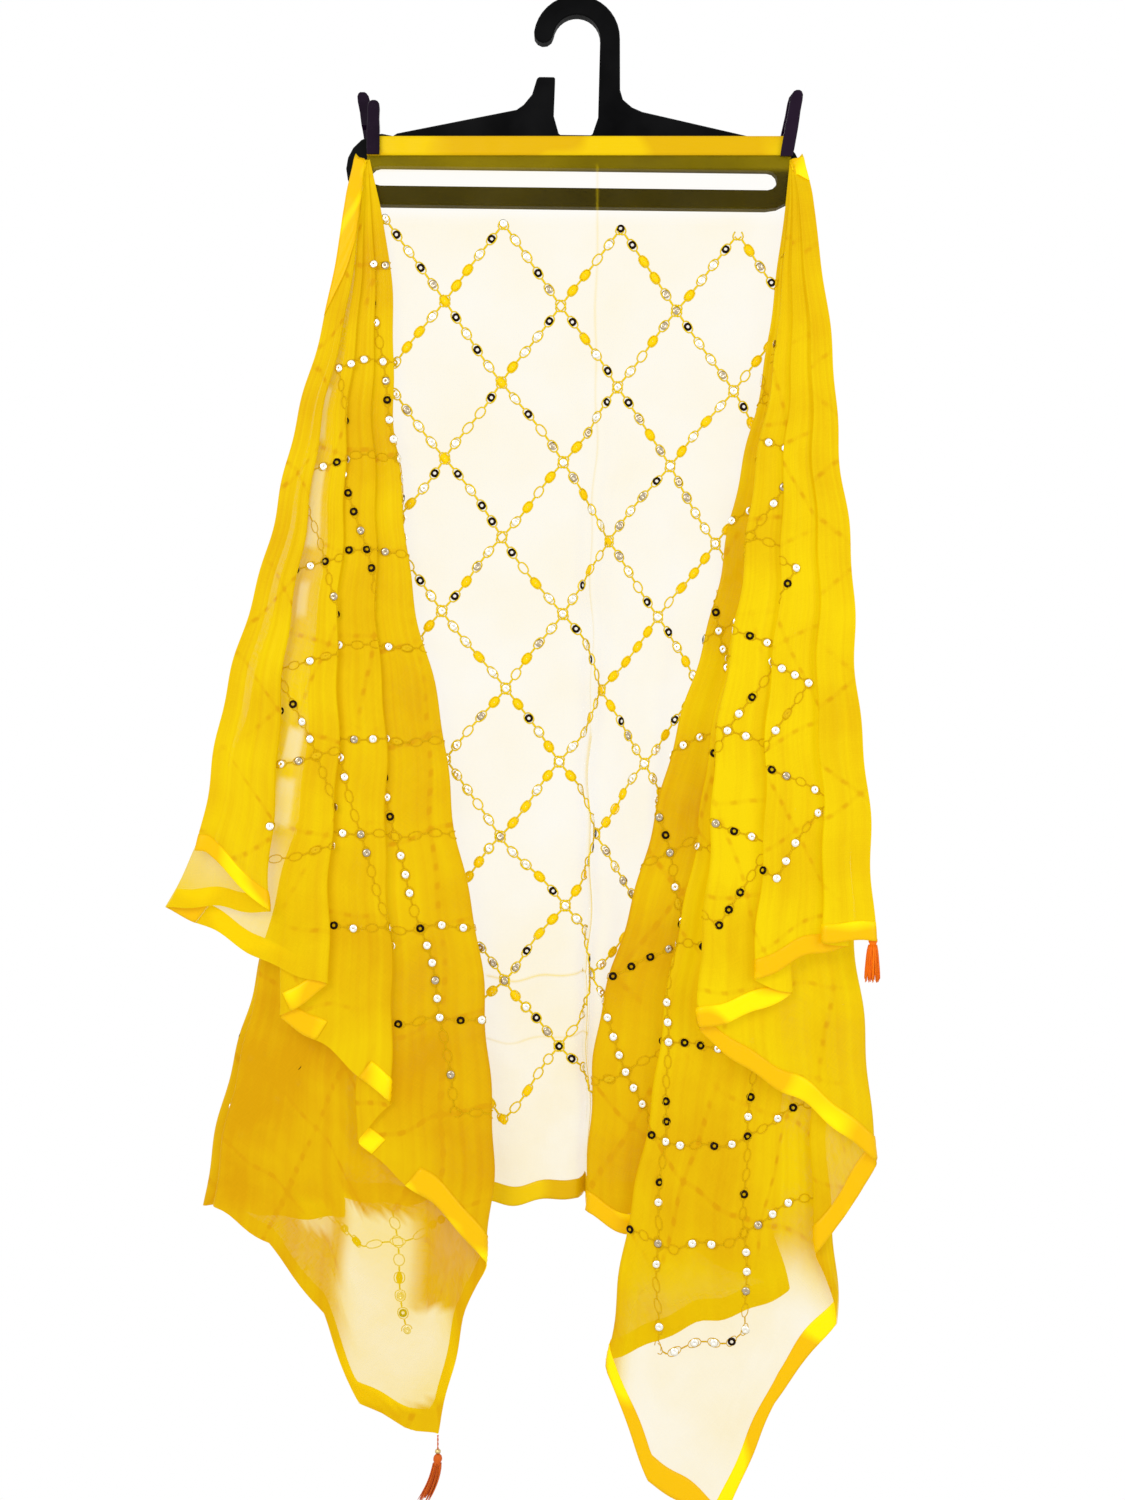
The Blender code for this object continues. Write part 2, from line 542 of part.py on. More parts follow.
# ---------------------------------------------------------------- pegs
PEG_WIDTH = 0.0122
JAW_FACE = GRIP_Y - WALL / 2 - SEAM - RIBBON_WALL - SEAM          # front jaw, on the border
REAR_FACE = HANGER_DEPTH / 2 + SEAM
SPRING_AT = 0.50            # share of an arm's height
SPRING_WIDTH = 0.60         # share of the peg's width
ARM_CHAMFER = 0.0008
# height: share along the arm; inward: of its inner face from the jaw; width: share of the peg's
ArmRow = namedtuple("ArmRow", "height inward thickness width")
ARM_ROWS = (
    ArmRow(0.00, 0.0000, 0.0030, 0.94), ArmRow(0.10, 0.0000, 0.0040, 1.00),
    ArmRow(0.38, 0.0000, 0.0042, 1.00), ArmRow(0.44, 0.0035, 0.0070, 1.00),
    ArmRow(0.56, 0.0035, 0.0068, 0.96), ArmRow(0.66, 0.0020, 0.0042, 0.92),
    ArmRow(0.84, 0.0034, 0.0038, 0.96), ArmRow(0.93, 0.0036, 0.0036, 0.88),
    ArmRow(0.98, 0.0037, 0.0032, 0.62), ArmRow(1.00, 0.0038, 0.0026, 0.36),
)
SPRING_ROW = ARM_ROWS[3]
# jaw and handle ends of each arm, (x, z)
Peg = namedtuple("Peg", "name front_jaw front_handle rear_jaw rear_handle")
PEGS = (
    Peg("left", (-0.1904, -0.1325), (-0.1904, -0.0808), (-0.1927, -0.1250), (-0.2021, -0.0696)),
    Peg("right", (0.1955, -0.1344), (0.2068, -0.0714), (0.1945, -0.1300), (0.2058, -0.0706)),
)


def build_arm(name, low, high, face, outward):
    """Peg arm from its jaw (x, z) to its handle's end; face is its inner side's y at the jaw."""
    bm = bmesh.new()
    rings = []
    for row in ARM_ROWS:
        x = low[0] + (high[0] - low[0]) * row.height
        z = low[1] + (high[1] - low[1]) * row.height
        inner = face - outward * row.inward
        outer = inner + outward * row.thickness
        half = PEG_WIDTH * row.width / 2
        cut = min(ARM_CHAMFER, half / 2, row.thickness / 3)
        corners = [(-half, inner), (half, inner), (half, outer - outward * cut),
                   (half - cut, outer), (-half + cut, outer), (-half, outer - outward * cut)]
        rings.append([bm.verts.new((x + dx, y, z)) for dx, y in corners])
    for lower, upper in zip(rings, rings[1:]):
        for k in range(len(lower)):
            m = (k + 1) % len(lower)
            bm.faces.new((lower[k], lower[m], upper[m], upper[k]))
    bm.faces.new(rings[0])
    bm.faces.new(rings[-1])
    return add_object(name, bm, peg_plastic())


def build_peg(peg):
    """Peg closed over the border: two arms and, between them, the spring's wound wire as one roll."""
    name = peg.name
    build_arm(f"{name}_peg_front_arm", peg.front_jaw, peg.front_handle, JAW_FACE, -1)
    build_arm(f"{name}_peg_rear_arm", peg.rear_jaw, peg.rear_handle, REAR_FACE, 1)
    jaw, handle = ([(a + b) / 2 for a, b in zip(front, rear)]
                   for front, rear in ((peg.front_jaw, peg.rear_jaw), (peg.front_handle, peg.rear_handle)))
    x, z = (low + (high - low) * SPRING_AT for low, high in zip(jaw, handle))
    gap = (JAW_FACE + SPRING_ROW.inward, REAR_FACE - SPRING_ROW.inward)
    bm = bmesh.new()
    radius = (gap[1] - gap[0]) / 2 - SEAM
    made = bmesh.ops.create_cone(bm, cap_ends=True, segments=14, radius1=radius, radius2=radius,
                                 depth=PEG_WIDTH * SPRING_WIDTH)
    for vert in made["verts"]:
        side, depth, height = vert.co.z, vert.co.x, vert.co.y
        vert.co = (x + side, (gap[0] + gap[1]) / 2 + depth, z + height)
    add_object(f"{name}_peg_spring", bm, steel())


# ---------------------------------------------------------------- tassels
TASSEL_SIDES = 10
NECK_RADIUS = 0.0007
# drop below the thread's end, radius: shoulder, knot, waist, skirt top
HEAD_ROWS = ((0.0000, 0.0024), (0.0020, 0.0038), (0.0060, 0.0040), (0.0080, 0.0032), (0.0095, 0.0042))
STRAND_LENGTH = 0.034
STRAND_TAPER = 0.8          # a strand's foot to its root
STRAND_UNEVEN = 0.06        # strands end up to twice this share short
SKIRT_UNEVEN = 0.10
ROOT_INSET = 0.00022        # between the roots of neighbouring strands
BEAD_RADIUS = 0.0026
BEAD_END = 0.0020           # radius of a bead's ends
BEAD_HALF = 0.0018          # half its length
BEAD_SIDES = 12
# corner: of the cloth, lower or top; neck: its thread's length; lean: how far its foot drifts in x;
# flat: depth to width; skirt: spread of its strands' feet to their roots; tucked: how far up the edge from
# the corner it is sewn; across, ahead, up: from there to its top, in x, y and z.
Tassel = namedtuple("Tassel", "wing corner neck lean flat skirt tucked across ahead up")
TASSELS = (
    Tassel(LEFT, "lower", 0.0170, -0.014, 1.00, 1.9, 0.000, 0.000, 0.0000, -0.0009),
    Tassel(RIGHT, "lower", 0.0170, 0.006, 1.00, 1.9, 0.000, 0.000, 0.0000, -0.0009),
    Tassel(LEFT, "top", 0.0060, 0.000, 0.28, 1.9, 0.042, 0.018, 0.0018, 0.0000),
    Tassel(RIGHT, "top", 0.0030, 0.000, 0.55, 2.4, 0.000, -0.003, 0.0033, 0.0080),
)


def build_tassel(name, top, tassel):
    """Tassel hung from top: a thread, a head, and strands rooted in the head's underside."""
    neck, flat = tassel.neck, tassel.flat
    x0, y0, z0 = top
    total = neck + HEAD_ROWS[-1][0] + STRAND_LENGTH

    def place(radius, angle, drop):
        drift = tassel.lean * (max(drop - neck, 0.0) / (total - neck)) ** 2
        return (x0 + drift + radius * math.cos(angle), y0 + flat * radius * math.sin(angle), z0 - drop)

    bm = bmesh.new()
    rows = [(0.0, NECK_RADIUS), (neck, NECK_RADIUS)] + [(neck + drop, radius) for drop, radius in HEAD_ROWS]
    rows += [(rows[-1][0] + 0.0002, rows[-1][1] * 0.55)]
    turn = 2 * math.pi / TASSEL_SIDES
    rings = [[bm.verts.new(place(radius, k * turn, drop)) for k in range(TASSEL_SIDES)]
             for drop, radius in rows]
    for upper, lower in zip(rings, rings[1:]):
        for k in range(TASSEL_SIDES):
            m = (k + 1) % TASSEL_SIDES
            bm.faces.new((upper[k], upper[m], lower[m], lower[k]))
    bm.faces.new(rings[0])
    centre = bm.verts.new(place(0.0, 0.0, rows[-1][0]))
    roots = []
    for k in range(TASSEL_SIDES):
        m = (k + 1) % TASSEL_SIDES
        roots.append(bm.faces.new((rings[-1][k], rings[-1][m], centre)))
    bm.faces.ensure_lookup_table()
    roots += [face for face in bm.faces
              if set(face.verts) & set(rings[-1]) and set(face.verts) & set(rings[-2])]
    bmesh.ops.recalc_face_normals(bm, faces=bm.faces)
    bmesh.ops.inset_individual(bm, faces=roots, thickness=ROOT_INSET * flat, use_even_offset=True)
    for number, root in enumerate(roots):
        middle = root.calc_center_median()
        grown = bmesh.ops.extrude_discrete_faces(bm, faces=[root])["faces"][0]
        outward = middle.x - place(0.0, 0.0, z0 - middle.z)[0], (middle.y - y0) / flat
        spread = tassel.skirt * (1.0 + SKIRT_UNEVEN * math.sin(2.4 * number))
        length = STRAND_LENGTH * (1.0 - STRAND_UNEVEN * (number % 3))
        foot = place(0.0, 0.0, z0 - middle.z + length)
        for vert in grown.verts:
            local = vert.co - middle
            vert.co = (foot[0] + outward[0] * spread + local.x * STRAND_TAPER,
                       foot[1] + flat * outward[1] * spread + local.y * STRAND_TAPER,
                       foot[2] + local.z * 0.3)
    add_object(name, bm, floss())


def build_bead(name, top, neck):
    """Brass bead threaded on a tassel's thread, just above its head."""
    bm = bmesh.new()
    hole = NECK_RADIUS + SEAM
    rows = [(hole, BEAD_HALF), (BEAD_END, BEAD_HALF), (BEAD_RADIUS, BEAD_HALF / 3),
            (BEAD_RADIUS, -BEAD_HALF / 3), (BEAD_END, -BEAD_HALF), (hole, -BEAD_HALF)]
    middle = top[2] - neck + BEAD_HALF + SEAM
    turn = 2 * math.pi / BEAD_SIDES
    rings = [[bm.verts.new((top[0] + radius * math.cos(k * turn), top[1] + radius * math.sin(k * turn),
                            middle + height)) for k in range(BEAD_SIDES)] for radius, height in rows]
    for upper, lower in zip(rings, rings[1:] + rings[:1]):
        for k in range(BEAD_SIDES):
            m = (k + 1) % BEAD_SIDES
            bm.faces.new((upper[k], upper[m], lower[m], lower[k]))
    add_object(name, bm, material("brass", (0.75, 0.55, 0.20), 0.30, 1.0))


def build_tassels():
    """One tassel at each corner of the cloth: the lower two on its points, the upper two behind it."""
    for tassel in TASSELS:
        wing = tassel.wing
        if tassel.corner == "lower":
            angle = corner_angle(wing)
            limit = wing_limit(wing, angle)
        else:
            limit = CLOTH_LENGTH / 2 - abs(wing.peg_u)
            angle = math.pi / 2 + math.asin(PIVOT_DROP / limit)
        x, y, z = fan_points(wing, angle, limit - tassel.tucked)
        top = (x + tassel.across, y + tassel.ahead, z + tassel.up)
        name = f"{wing.name}_{tassel.corner}"
        build_tassel(f"{name}_tassel", top, tassel)
        if tassel.corner == "lower":
            build_bead(f"{name}_bead", top, tassel.neck)


def clear_scene():
    for old in list(bpy.data.objects):
        bpy.data.objects.remove(old, do_unlink=True)


def main():
    clear_scene()
    build_panel()
    build_fan(LEFT)
    build_fan(RIGHT)
    build_hanger()
    for peg in PEGS:
        build_peg(peg)
    build_tassels()


main()
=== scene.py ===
"""Looks of a sheer dupatta stole pegged across a clothes hanger.

The cloth is mapped from its flat cut, u along its long edge from the middle and v down from its top
edge, to where it hangs, by the same fold tables as its solids. Everything on the cloth (creases, ribbons,
trellis threads, sequins, stitched dots that paint the eyes' shadows) is placed by its flat u and v. All sizes
are in metres.
"""
import math
from collections import namedtuple

import bpy
import numpy as np
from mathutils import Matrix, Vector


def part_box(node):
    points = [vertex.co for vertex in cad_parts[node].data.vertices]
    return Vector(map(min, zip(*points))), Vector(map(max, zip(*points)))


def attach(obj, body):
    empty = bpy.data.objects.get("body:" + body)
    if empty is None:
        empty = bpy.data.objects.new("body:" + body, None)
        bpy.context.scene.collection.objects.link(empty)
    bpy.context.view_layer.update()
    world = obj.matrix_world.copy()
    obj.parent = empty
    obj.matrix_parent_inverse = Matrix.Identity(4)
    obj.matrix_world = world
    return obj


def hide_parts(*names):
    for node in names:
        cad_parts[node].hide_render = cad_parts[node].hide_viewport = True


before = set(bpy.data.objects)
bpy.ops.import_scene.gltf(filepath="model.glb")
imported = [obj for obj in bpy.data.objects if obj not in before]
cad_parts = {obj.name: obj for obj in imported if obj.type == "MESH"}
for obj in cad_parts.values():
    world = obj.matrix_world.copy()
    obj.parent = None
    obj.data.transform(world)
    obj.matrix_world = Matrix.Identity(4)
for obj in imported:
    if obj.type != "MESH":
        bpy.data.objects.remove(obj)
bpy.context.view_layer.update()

# ---------------------------------------------------------------- sizes shared with the solids
CLOTH_LENGTH = 1.866
CLOTH_WIDTH = 0.996
RIBBON_WIDTH = 0.018
SEAM = 0.0003               # clear gap between pieces
GRIP_Y = -0.0068            # depth of the cloth where the pegs grip it
PANEL_Y = -0.0100           # the cloth below the grip hangs a little forward of the bar
BAR_RIM = 0.0090            # it leaves the bar this far below the grip, and is clear as far again
PIVOT_Z = -0.1250           # height of the pegs' grip
PIVOT_DROP = 0.0103         # how far the grip lies below the cloth's top edge
FAN_START = 0.060           # inner end of the folded layers
FALL_START = 0.012          # inner end of the front layer
PLEAT_FROM = -0.020         # the panel's middle pleat, along the cloth
PLEAT_TO = 0.030
PINCHED = 0.26              # share of a layer's gap that is open where the fan starts
PINCH_END = 0.008           # distance from the peg within which the layers lie together
MOST_SPREAD = 1.4
TURN_MOST = 0.45            # the most of a run that each turn at its ends takes up
PLEAT_SHARE = 0.45          # of what the right side is drawn in, how much the middle pleat takes up
PLEAT_DEPTH = 0.19          # depth of the pleat's two waves, and of the three waves beside it, of the same
WAVE_DEPTH = 0.10
PLEAT_TURNS, WAVES = 2, 3


def table(kind, *rows):
    """Rows of a table, each with the columns that kind names."""
    return [kind(*row) for row in rows]


# cloth: angle on the flat cloth (degrees); hang: angle of the hanging fold line from straight down,
# + to +X (degrees), at each of RADII; reach: how much of its flat length the line hangs at its end;
# gap: depth to the next layer in front, 1 m from the peg (mm). A "pass" row bends no cloth.
Fold = namedtuple("Fold", "name kind cloth hang reach gap")
RADII = (0.06, 0.25, 0.55, 0.85, 1.10)
LEFT_FOLDS = table(
    Fold,
    ("panel_side", "pass", 0.0, (0.0, 0.0, 0.0, 0.0, 0.0), 1.000, 0),
    ("back", "fold", 9.5, (-5.0, -6.4, -5.4, -8.2, -8.9), 1.000, 9),
    ("tuck", "fold", 17.2, (-0.5, -0.5, -1.0, -1.0, -1.4), 0.970, 8),
    ("low_side", "fold", 24.7, (-5.0, -6.0, -5.0, -7.5, -8.0), 0.917, 9),
    ("lower_dip", "pass", 28.0, (-2.8, -3.8, -3.4, -4.7, -4.9), 0.912, 0),
    ("lower_edge", "pass", 31.2, (0.0, -1.5, -1.8, -1.9, -1.9), 0.942, 0),
    ("lower_turn", "pass", 33.6, (2.5, 0.6, 0.2, 0.0, -0.2), 0.982, 0),
    ("corner", "pass", 36.1, (5.0, 2.6, 2.8, 3.2, 3.2), 0.981, 0),
    ("inner", "fold", 43.0, (13.0, 6.4, 7.4, 7.9, 5.8), 0.990, 9),
    ("step", "fold", 50.5, (3.2, 0.4, 0.1, -0.2, -0.4), 0.990, 6),
    ("step_back", "fold", 53.6, (5.0, 2.0, 2.0, 1.9, 1.7), 0.990, 6),
    ("pleat", "fold", 61.5, (-3.2, -4.8, -5.4, -5.5, -5.5), 0.990, 6),
    ("pleat_back", "fold", 65.5, (-0.6, -3.0, -2.4, -2.2, -2.0), 0.990, 6),
    ("loop", "fold", 76.5, (-6.0, -9.3, -11.2, -15.2, -15.2), 0.985, 10),
    ("fall", "fold", 83.5, (-3.5, -7.6, -7.8, -5.5, -5.0), 0.987, 9),
    ("top_edge", "pass", 90.0, (-7.0, -10.2, -12.1, -11.5, -11.5), 0.935, 0),
)
RIGHT_FOLDS = table(
    Fold,
    ("panel_side", "pass", 0.0, (0.0, -2.5, -5.0, -4.1, -3.5), 1.000, 0),
    ("back", "fold", 3.5, (2.0, 0.5, -1.5, -0.7, -0.5), 1.000, 8),
    ("back_inner", "fold", 13.0, (-6.0, -8.0, -10.9, -12.3, -10.0), 1.000, 8),
    ("tuck", "fold", 22.5, (1.0, 0.0, -1.6, -2.6, 0.0), 0.995, 8),
    ("inner", "fold", 31.3, (-5.0, -6.0, -7.7, -8.5, -8.8), 0.985, 9),
    ("lower_edge", "pass", 34.5, (-3.0, -3.8, -5.2, -5.9, -6.2), 1.034, 0),
    ("corner", "pass", 37.3, (-1.0, -1.5, -2.6, -3.2, -3.3), 1.032, 0),
    ("low_end", "pass", 40.5, (1.0, 0.4, -0.2, -0.6, -0.9), 1.000, 0),
    ("step", "fold", 43.8, (3.4, 2.6, 2.1, 1.8, 1.9), 1.000, 6),
    ("step_back", "fold", 47.2, (1.6, 1.4, 0.9, 0.8, 1.0), 1.000, 6),
    ("tip", "fold", 53.4, (6.0, 5.5, 4.6, 4.2, 5.6), 1.000, 9),
    ("zigzag", "fold", 64.0, (-4.0, -6.0, -7.4, -6.3, -6.0), 0.987, 9),
    ("pleat", "fold", 71.5, (1.0, 0.2, -0.4, -0.5, -0.5), 0.990, 6),
    ("pleat_back", "fold", 75.0, (-0.8, -1.6, -2.9, -3.0, -3.0), 0.990, 6),
    ("side", "fold", 84.0, (6.2, 5.0, 3.7, 3.5, 3.5), 0.980, 6),
    ("side_back", "fold", 87.0, (4.4, 3.4, 1.9, 1.6, 1.6), 0.980, 6),
    ("top_edge", "pass", 90.0, (7.0, 6.1, 4.8, 4.5, 4.5), 0.977, 0),
)
Wing = namedtuple("Wing", "name side peg_x peg_u folds")
LEFT = Wing("left", -1, -0.1965, -0.215, LEFT_FOLDS)
RIGHT = Wing("right", 1, 0.2002, 0.181, RIGHT_FOLDS)


# ---------------------------------------------------------------- flat cloth to hanging cloth
def smooth(x):
    """0 to 1 ease of x, clamped."""
    x = np.clip(x, 0.0, 1.0)
    return x * x * (3.0 - 2.0 * x)


def curve_through(x, xs, ys):
    """Smooth curve through (xs, ys), read at x, level past its ends."""
    xs = np.asarray(xs, float)
    ys = np.asarray(ys, float)
    slope = np.gradient(ys, xs)
    x = np.clip(x, xs[0], xs[-1])
    i = np.clip(np.searchsorted(xs, x, side="right") - 1, 0, len(xs) - 2)
    h = xs[i + 1] - xs[i]
    t = (x - xs[i]) / h
    return ((2 * t**3 - 3 * t**2 + 1) * ys[i] + (t**3 - 2 * t**2 + t) * h * slope[i]
            + (-2 * t**3 + 3 * t**2) * ys[i + 1] + (t**3 - t**2) * h * slope[i + 1])


def wing_limit(wing, theta):
    """Distance from the peg to the cloth's edge along flat angle theta (radians)."""
    end = CLOTH_LENGTH / 2 - abs(wing.peg_u)
    lower = CLOTH_WIDTH - PIVOT_DROP
    return np.minimum(end / np.maximum(np.sin(theta), 1e-6),
                      np.where(np.cos(theta) > 1e-6, lower / np.maximum(np.cos(theta), 1e-6), 1e6))


def corner_angle(wing):
    return math.atan2(CLOTH_LENGTH / 2 - abs(wing.peg_u), CLOTH_WIDTH - PIVOT_DROP)


def back_depth(r):
    """Depth of the hanging panel at distance r below the grip."""
    return GRIP_Y + (PANEL_Y - GRIP_Y) * smooth((r - BAR_RIM) / BAR_RIM)


def layer_spread(r):
    """Share of a layer's gap that is open at distance r from the peg, 1 at a metre."""
    near = PINCHED * smooth((r - PINCH_END) / (FAN_START - PINCH_END))
    return near + (1.0 - PINCHED) * np.clip((r - FAN_START) / (1.0 - FAN_START), 0.0, MOST_SPREAD)


def fan_points(wing, theta, r):
    """Points of the fan at flat angle theta (radians) and flat distance r, arrays of one shape."""
    theta, r = np.broadcast_arrays(np.asarray(theta, float), np.asarray(r, float))
    degrees = np.degrees(theta)
    rows = wing.folds
    cloth = np.array([row.cloth for row in rows])
    share = np.clip(r / wing_limit(wing, theta), 0.0, 1.0)
    reach = np.interp(degrees, cloth, [row.reach for row in rows])
    distance = r * (1.0 + (reach - 1.0) * share**2)
    hang = [np.radians(curve_through(r, RADII, row.hang)) for row in rows]
    cross = [distance * np.sin(angle) for angle in hang]

    # depth of each run between rows: a fold steps forward, a pass does not
    spread = layer_spread(r)
    gap_sum = 0.0
    plane = []
    for row in rows[:-1]:
        gap_sum += row.gap * 0.001
        plane.append(back_depth(r) - gap_sum * spread)

    x, y = np.zeros_like(r), np.zeros_like(r)
    for i in range(len(rows) - 1):
        inside = (degrees >= cloth[i]) & (degrees <= cloth[i + 1])
        if i == 0:
            inside |= degrees < cloth[0]
        if not inside.any():
            continue
        # along a run: a quarter turn, the straight, and a quarter turn
        q = np.clip((degrees - cloth[i]) / (cloth[i + 1] - cloth[i]), 0.0, 1.0)
        span = cross[i + 1] - cross[i]
        heading = np.sign(span)
        rise = [0.0, 0.0]
        if rows[i].kind == "fold":
            rise[0] = (plane[i - 1] - plane[i]) / 2
        if rows[i + 1].kind == "fold":
            rise[1] = (plane[i] - plane[i + 1]) / 2
        turn = [np.minimum(np.abs(part), TURN_MOST * np.abs(span)) for part in rise]
        arc = [np.hypot(turn[k], np.abs(rise[k])) * math.pi / 2 / math.sqrt(2.0) for k in (0, 1)]
        straight = np.maximum(np.abs(span) - turn[0] - turn[1], 1e-9)
        length = arc[0] + straight + arc[1]
        s = q * length
        first, last = s < arc[0], s > arc[0] + straight
        a0 = np.where(arc[0] > 0, s / np.maximum(arc[0], 1e-12), 1.0) * math.pi / 2
        a1 = np.where(arc[1] > 0, (length - s) / np.maximum(arc[1], 1e-12), 1.0) * math.pi / 2
        x_run = cross[i] + heading * (turn[0] + (s - arc[0]))
        y_run = plane[i]
        x_run = np.where(first, cross[i] + heading * turn[0] * (1 - np.cos(a0)), x_run)
        y_run = np.where(first, plane[i] + rise[0] * (1 - np.sin(a0)), y_run)
        x_run = np.where(last, cross[i + 1] - heading * turn[1] * (1 - np.cos(a1)), x_run)
        y_run = np.where(last, plane[i] - rise[1] * (1 - np.sin(a1)), y_run)
        x, y = np.where(inside, x_run, x), np.where(inside, y_run, y)

    # past the last ray the top border swings on outward round the peg
    past = degrees > cloth[-1]
    swing = hang[-1] + wing.side * (theta - math.radians(cloth[-1]))
    x = np.where(past, distance * np.sin(swing), x)
    y = np.where(past, plane[-1], y)
    down = np.sqrt(np.maximum(distance**2 - x**2, 0.0))
    return np.stack([wing.peg_x + x, y, PIVOT_Z - down], axis=-1)


def panel_points(u, v):
    """Points of the panel between the pegs."""
    u, v = np.broadcast_arrays(np.asarray(u, float), np.asarray(v, float))
    r = np.maximum(v - PIVOT_DROP, 0.0)
    side_angle = np.radians(curve_through(r, RADII, RIGHT_FOLDS[0].hang))
    drawn = -r * np.sin(side_angle)                       # how far the right side is drawn in
    pleat = (u - PLEAT_FROM) / (PLEAT_TO - PLEAT_FROM)
    rest = np.clip((u - PLEAT_TO) / (RIGHT.peg_u - PLEAT_TO), 0.0, 1.0)
    across = (u - LEFT.peg_u) / (RIGHT.peg_u - LEFT.peg_u)
    drawn_here = drawn * (PLEAT_SHARE * smooth(pleat) + (1.0 - PLEAT_SHARE) * rest)
    x = LEFT.peg_x + across * (RIGHT.peg_x - LEFT.peg_x) - drawn_here
    z = PIVOT_Z - (v - PIVOT_DROP) * (1.0 - (1.0 - np.cos(side_angle)) * across)
    pleat_turn = PLEAT_TURNS * 2 * math.pi * np.clip(pleat, 0.0, 1.0)
    y = back_depth(r) + PLEAT_DEPTH * drawn * (1.0 - np.cos(pleat_turn))
    y = y + WAVE_DEPTH * drawn * (1.0 - np.cos(WAVES * 2 * math.pi * rest))
    return np.stack([x, y, z], axis=-1)


NORMAL_STEP = 2e-4          # each way along the flat cloth, for its normals


def unit(vectors):
    """Vectors at length 1."""
    return vectors / np.maximum(np.linalg.norm(vectors, axis=-1, keepdims=True), 1e-12)


def normals_of(surface, a, b, side):
    """Unit normals of surface(a, b) from central differences, on the cloth's right side."""
    along = surface(a + NORMAL_STEP, b) - surface(a - NORMAL_STEP, b)
    down = surface(a, b + NORMAL_STEP) - surface(a, b - NORMAL_STEP)
    return unit(-side * np.cross(along, down))


# ---------------------------------------------------------------- soft creases
CREASE_EASE = 0.15          # over which a long crease rises and fades
CREASE_WAVER = 0.35         # degrees
# Long troughs and ridges on a wing: flat angle (degrees), width (degrees), where one starts and ends
# (distance from the peg), and its height (mm, + to the right side).
Crease = namedtuple("Crease", "angle width start end height")
LEFT_CREASES = table(
    Crease,
    (4.2, 0.5, 0.10, 0.80, 1.6), (6.9, 0.4, 0.30, 0.95, -1.2), (13.0, 0.6, 0.15, 0.90, 1.5),
    (20.8, 0.5, 0.20, 0.85, -1.4), (30.2, 0.7, 0.45, 1.00, 1.8), (34.6, 0.5, 0.30, 1.10, -1.3),
    (38.7, 0.6, 0.60, 1.15, 1.7), (46.2, 0.5, 0.10, 0.75, -1.5), (48.6, 0.4, 0.35, 0.95, 1.3),
    (57.2, 0.6, 0.12, 0.80, 1.6), (59.4, 0.4, 0.40, 0.85, -1.2), (69.6, 0.5, 0.15, 0.70, 1.6),
    (73.1, 0.6, 0.35, 0.75, -1.5), (80.2, 0.4, 0.20, 0.66, 1.2), (86.4, 0.5, 0.15, 0.70, -1.5),
)
RIGHT_CREASES = table(
    Crease,
    (6.4, 0.5, 0.20, 0.90, 1.4), (9.6, 0.4, 0.35, 0.98, -1.5), (17.0, 0.6, 0.10, 0.85, 1.6),
    (19.8, 0.4, 0.40, 0.95, -1.2), (26.6, 0.5, 0.25, 1.00, 1.5), (33.0, 0.5, 0.55, 1.15, -1.6),
    (36.0, 0.4, 0.70, 1.20, 1.4), (39.4, 0.6, 0.45, 1.15, 1.7), (50.3, 0.5, 0.15, 0.90, -1.4),
    (56.4, 0.6, 0.12, 0.80, 1.7), (59.6, 0.5, 0.30, 0.86, -1.4), (67.6, 0.5, 0.15, 0.78, 1.5),
    (78.0, 0.6, 0.20, 0.74, -1.6), (80.8, 0.4, 0.10, 0.60, 1.3),
)
# Creases across the panel: from (u, v) to (u, v), width and height (mm, + to the right side).
Line = namedtuple("Line", "u0 v0 u1 v1 width height")
PANEL_LINES = table(
    Line,
    (0.000, 0.020, 0.000, 0.560, 0.0020, 0.7),      # pressed where the cloth was folded for storage
    (0.002, 0.560, -0.002, 0.975, 0.0030, -1.6), (0.012, 0.600, 0.006, 0.960, 0.0025, 1.2),
    (-0.010, 0.640, -0.008, 0.930, 0.0030, 1.0),
    (-0.104, 0.787, 0.000, 0.787, 0.0022, 0.9), (-0.104, 0.845, 0.000, 0.845, 0.0025, -0.9),
    (0.040, 0.500, 0.075, 0.930, 0.0060, 1.8), (0.090, 0.300, 0.110, 0.880, 0.0070, -1.8),
    (-0.120, 0.100, -0.112, 0.420, 0.0040, 0.5), (-0.170, 0.200, -0.178, 0.900, 0.0070, 1.0),
    (0.140, 0.060, 0.150, 0.420, 0.0050, 1.0), (-0.060, 0.330, -0.052, 0.620, 0.0040, 0.5),
)
# Creases pressed into the panel, seen as fine denser lines: along v at one u or along u at one v, from and
# to where, how wide, and how much more each covers.
Pressed = namedtuple("Pressed", "along at start end width cover")
PRESSED = table(
    Pressed,
    ("v", 0.000, 0.030, 0.560, 0.0011, 0.22), ("v", 0.000, 0.560, 0.985, 0.0020, 0.42),
    ("u", 0.787, -0.104, 0.000, 0.0011, 0.34), ("u", 0.845, -0.104, 0.000, 0.0011, 0.24),
)


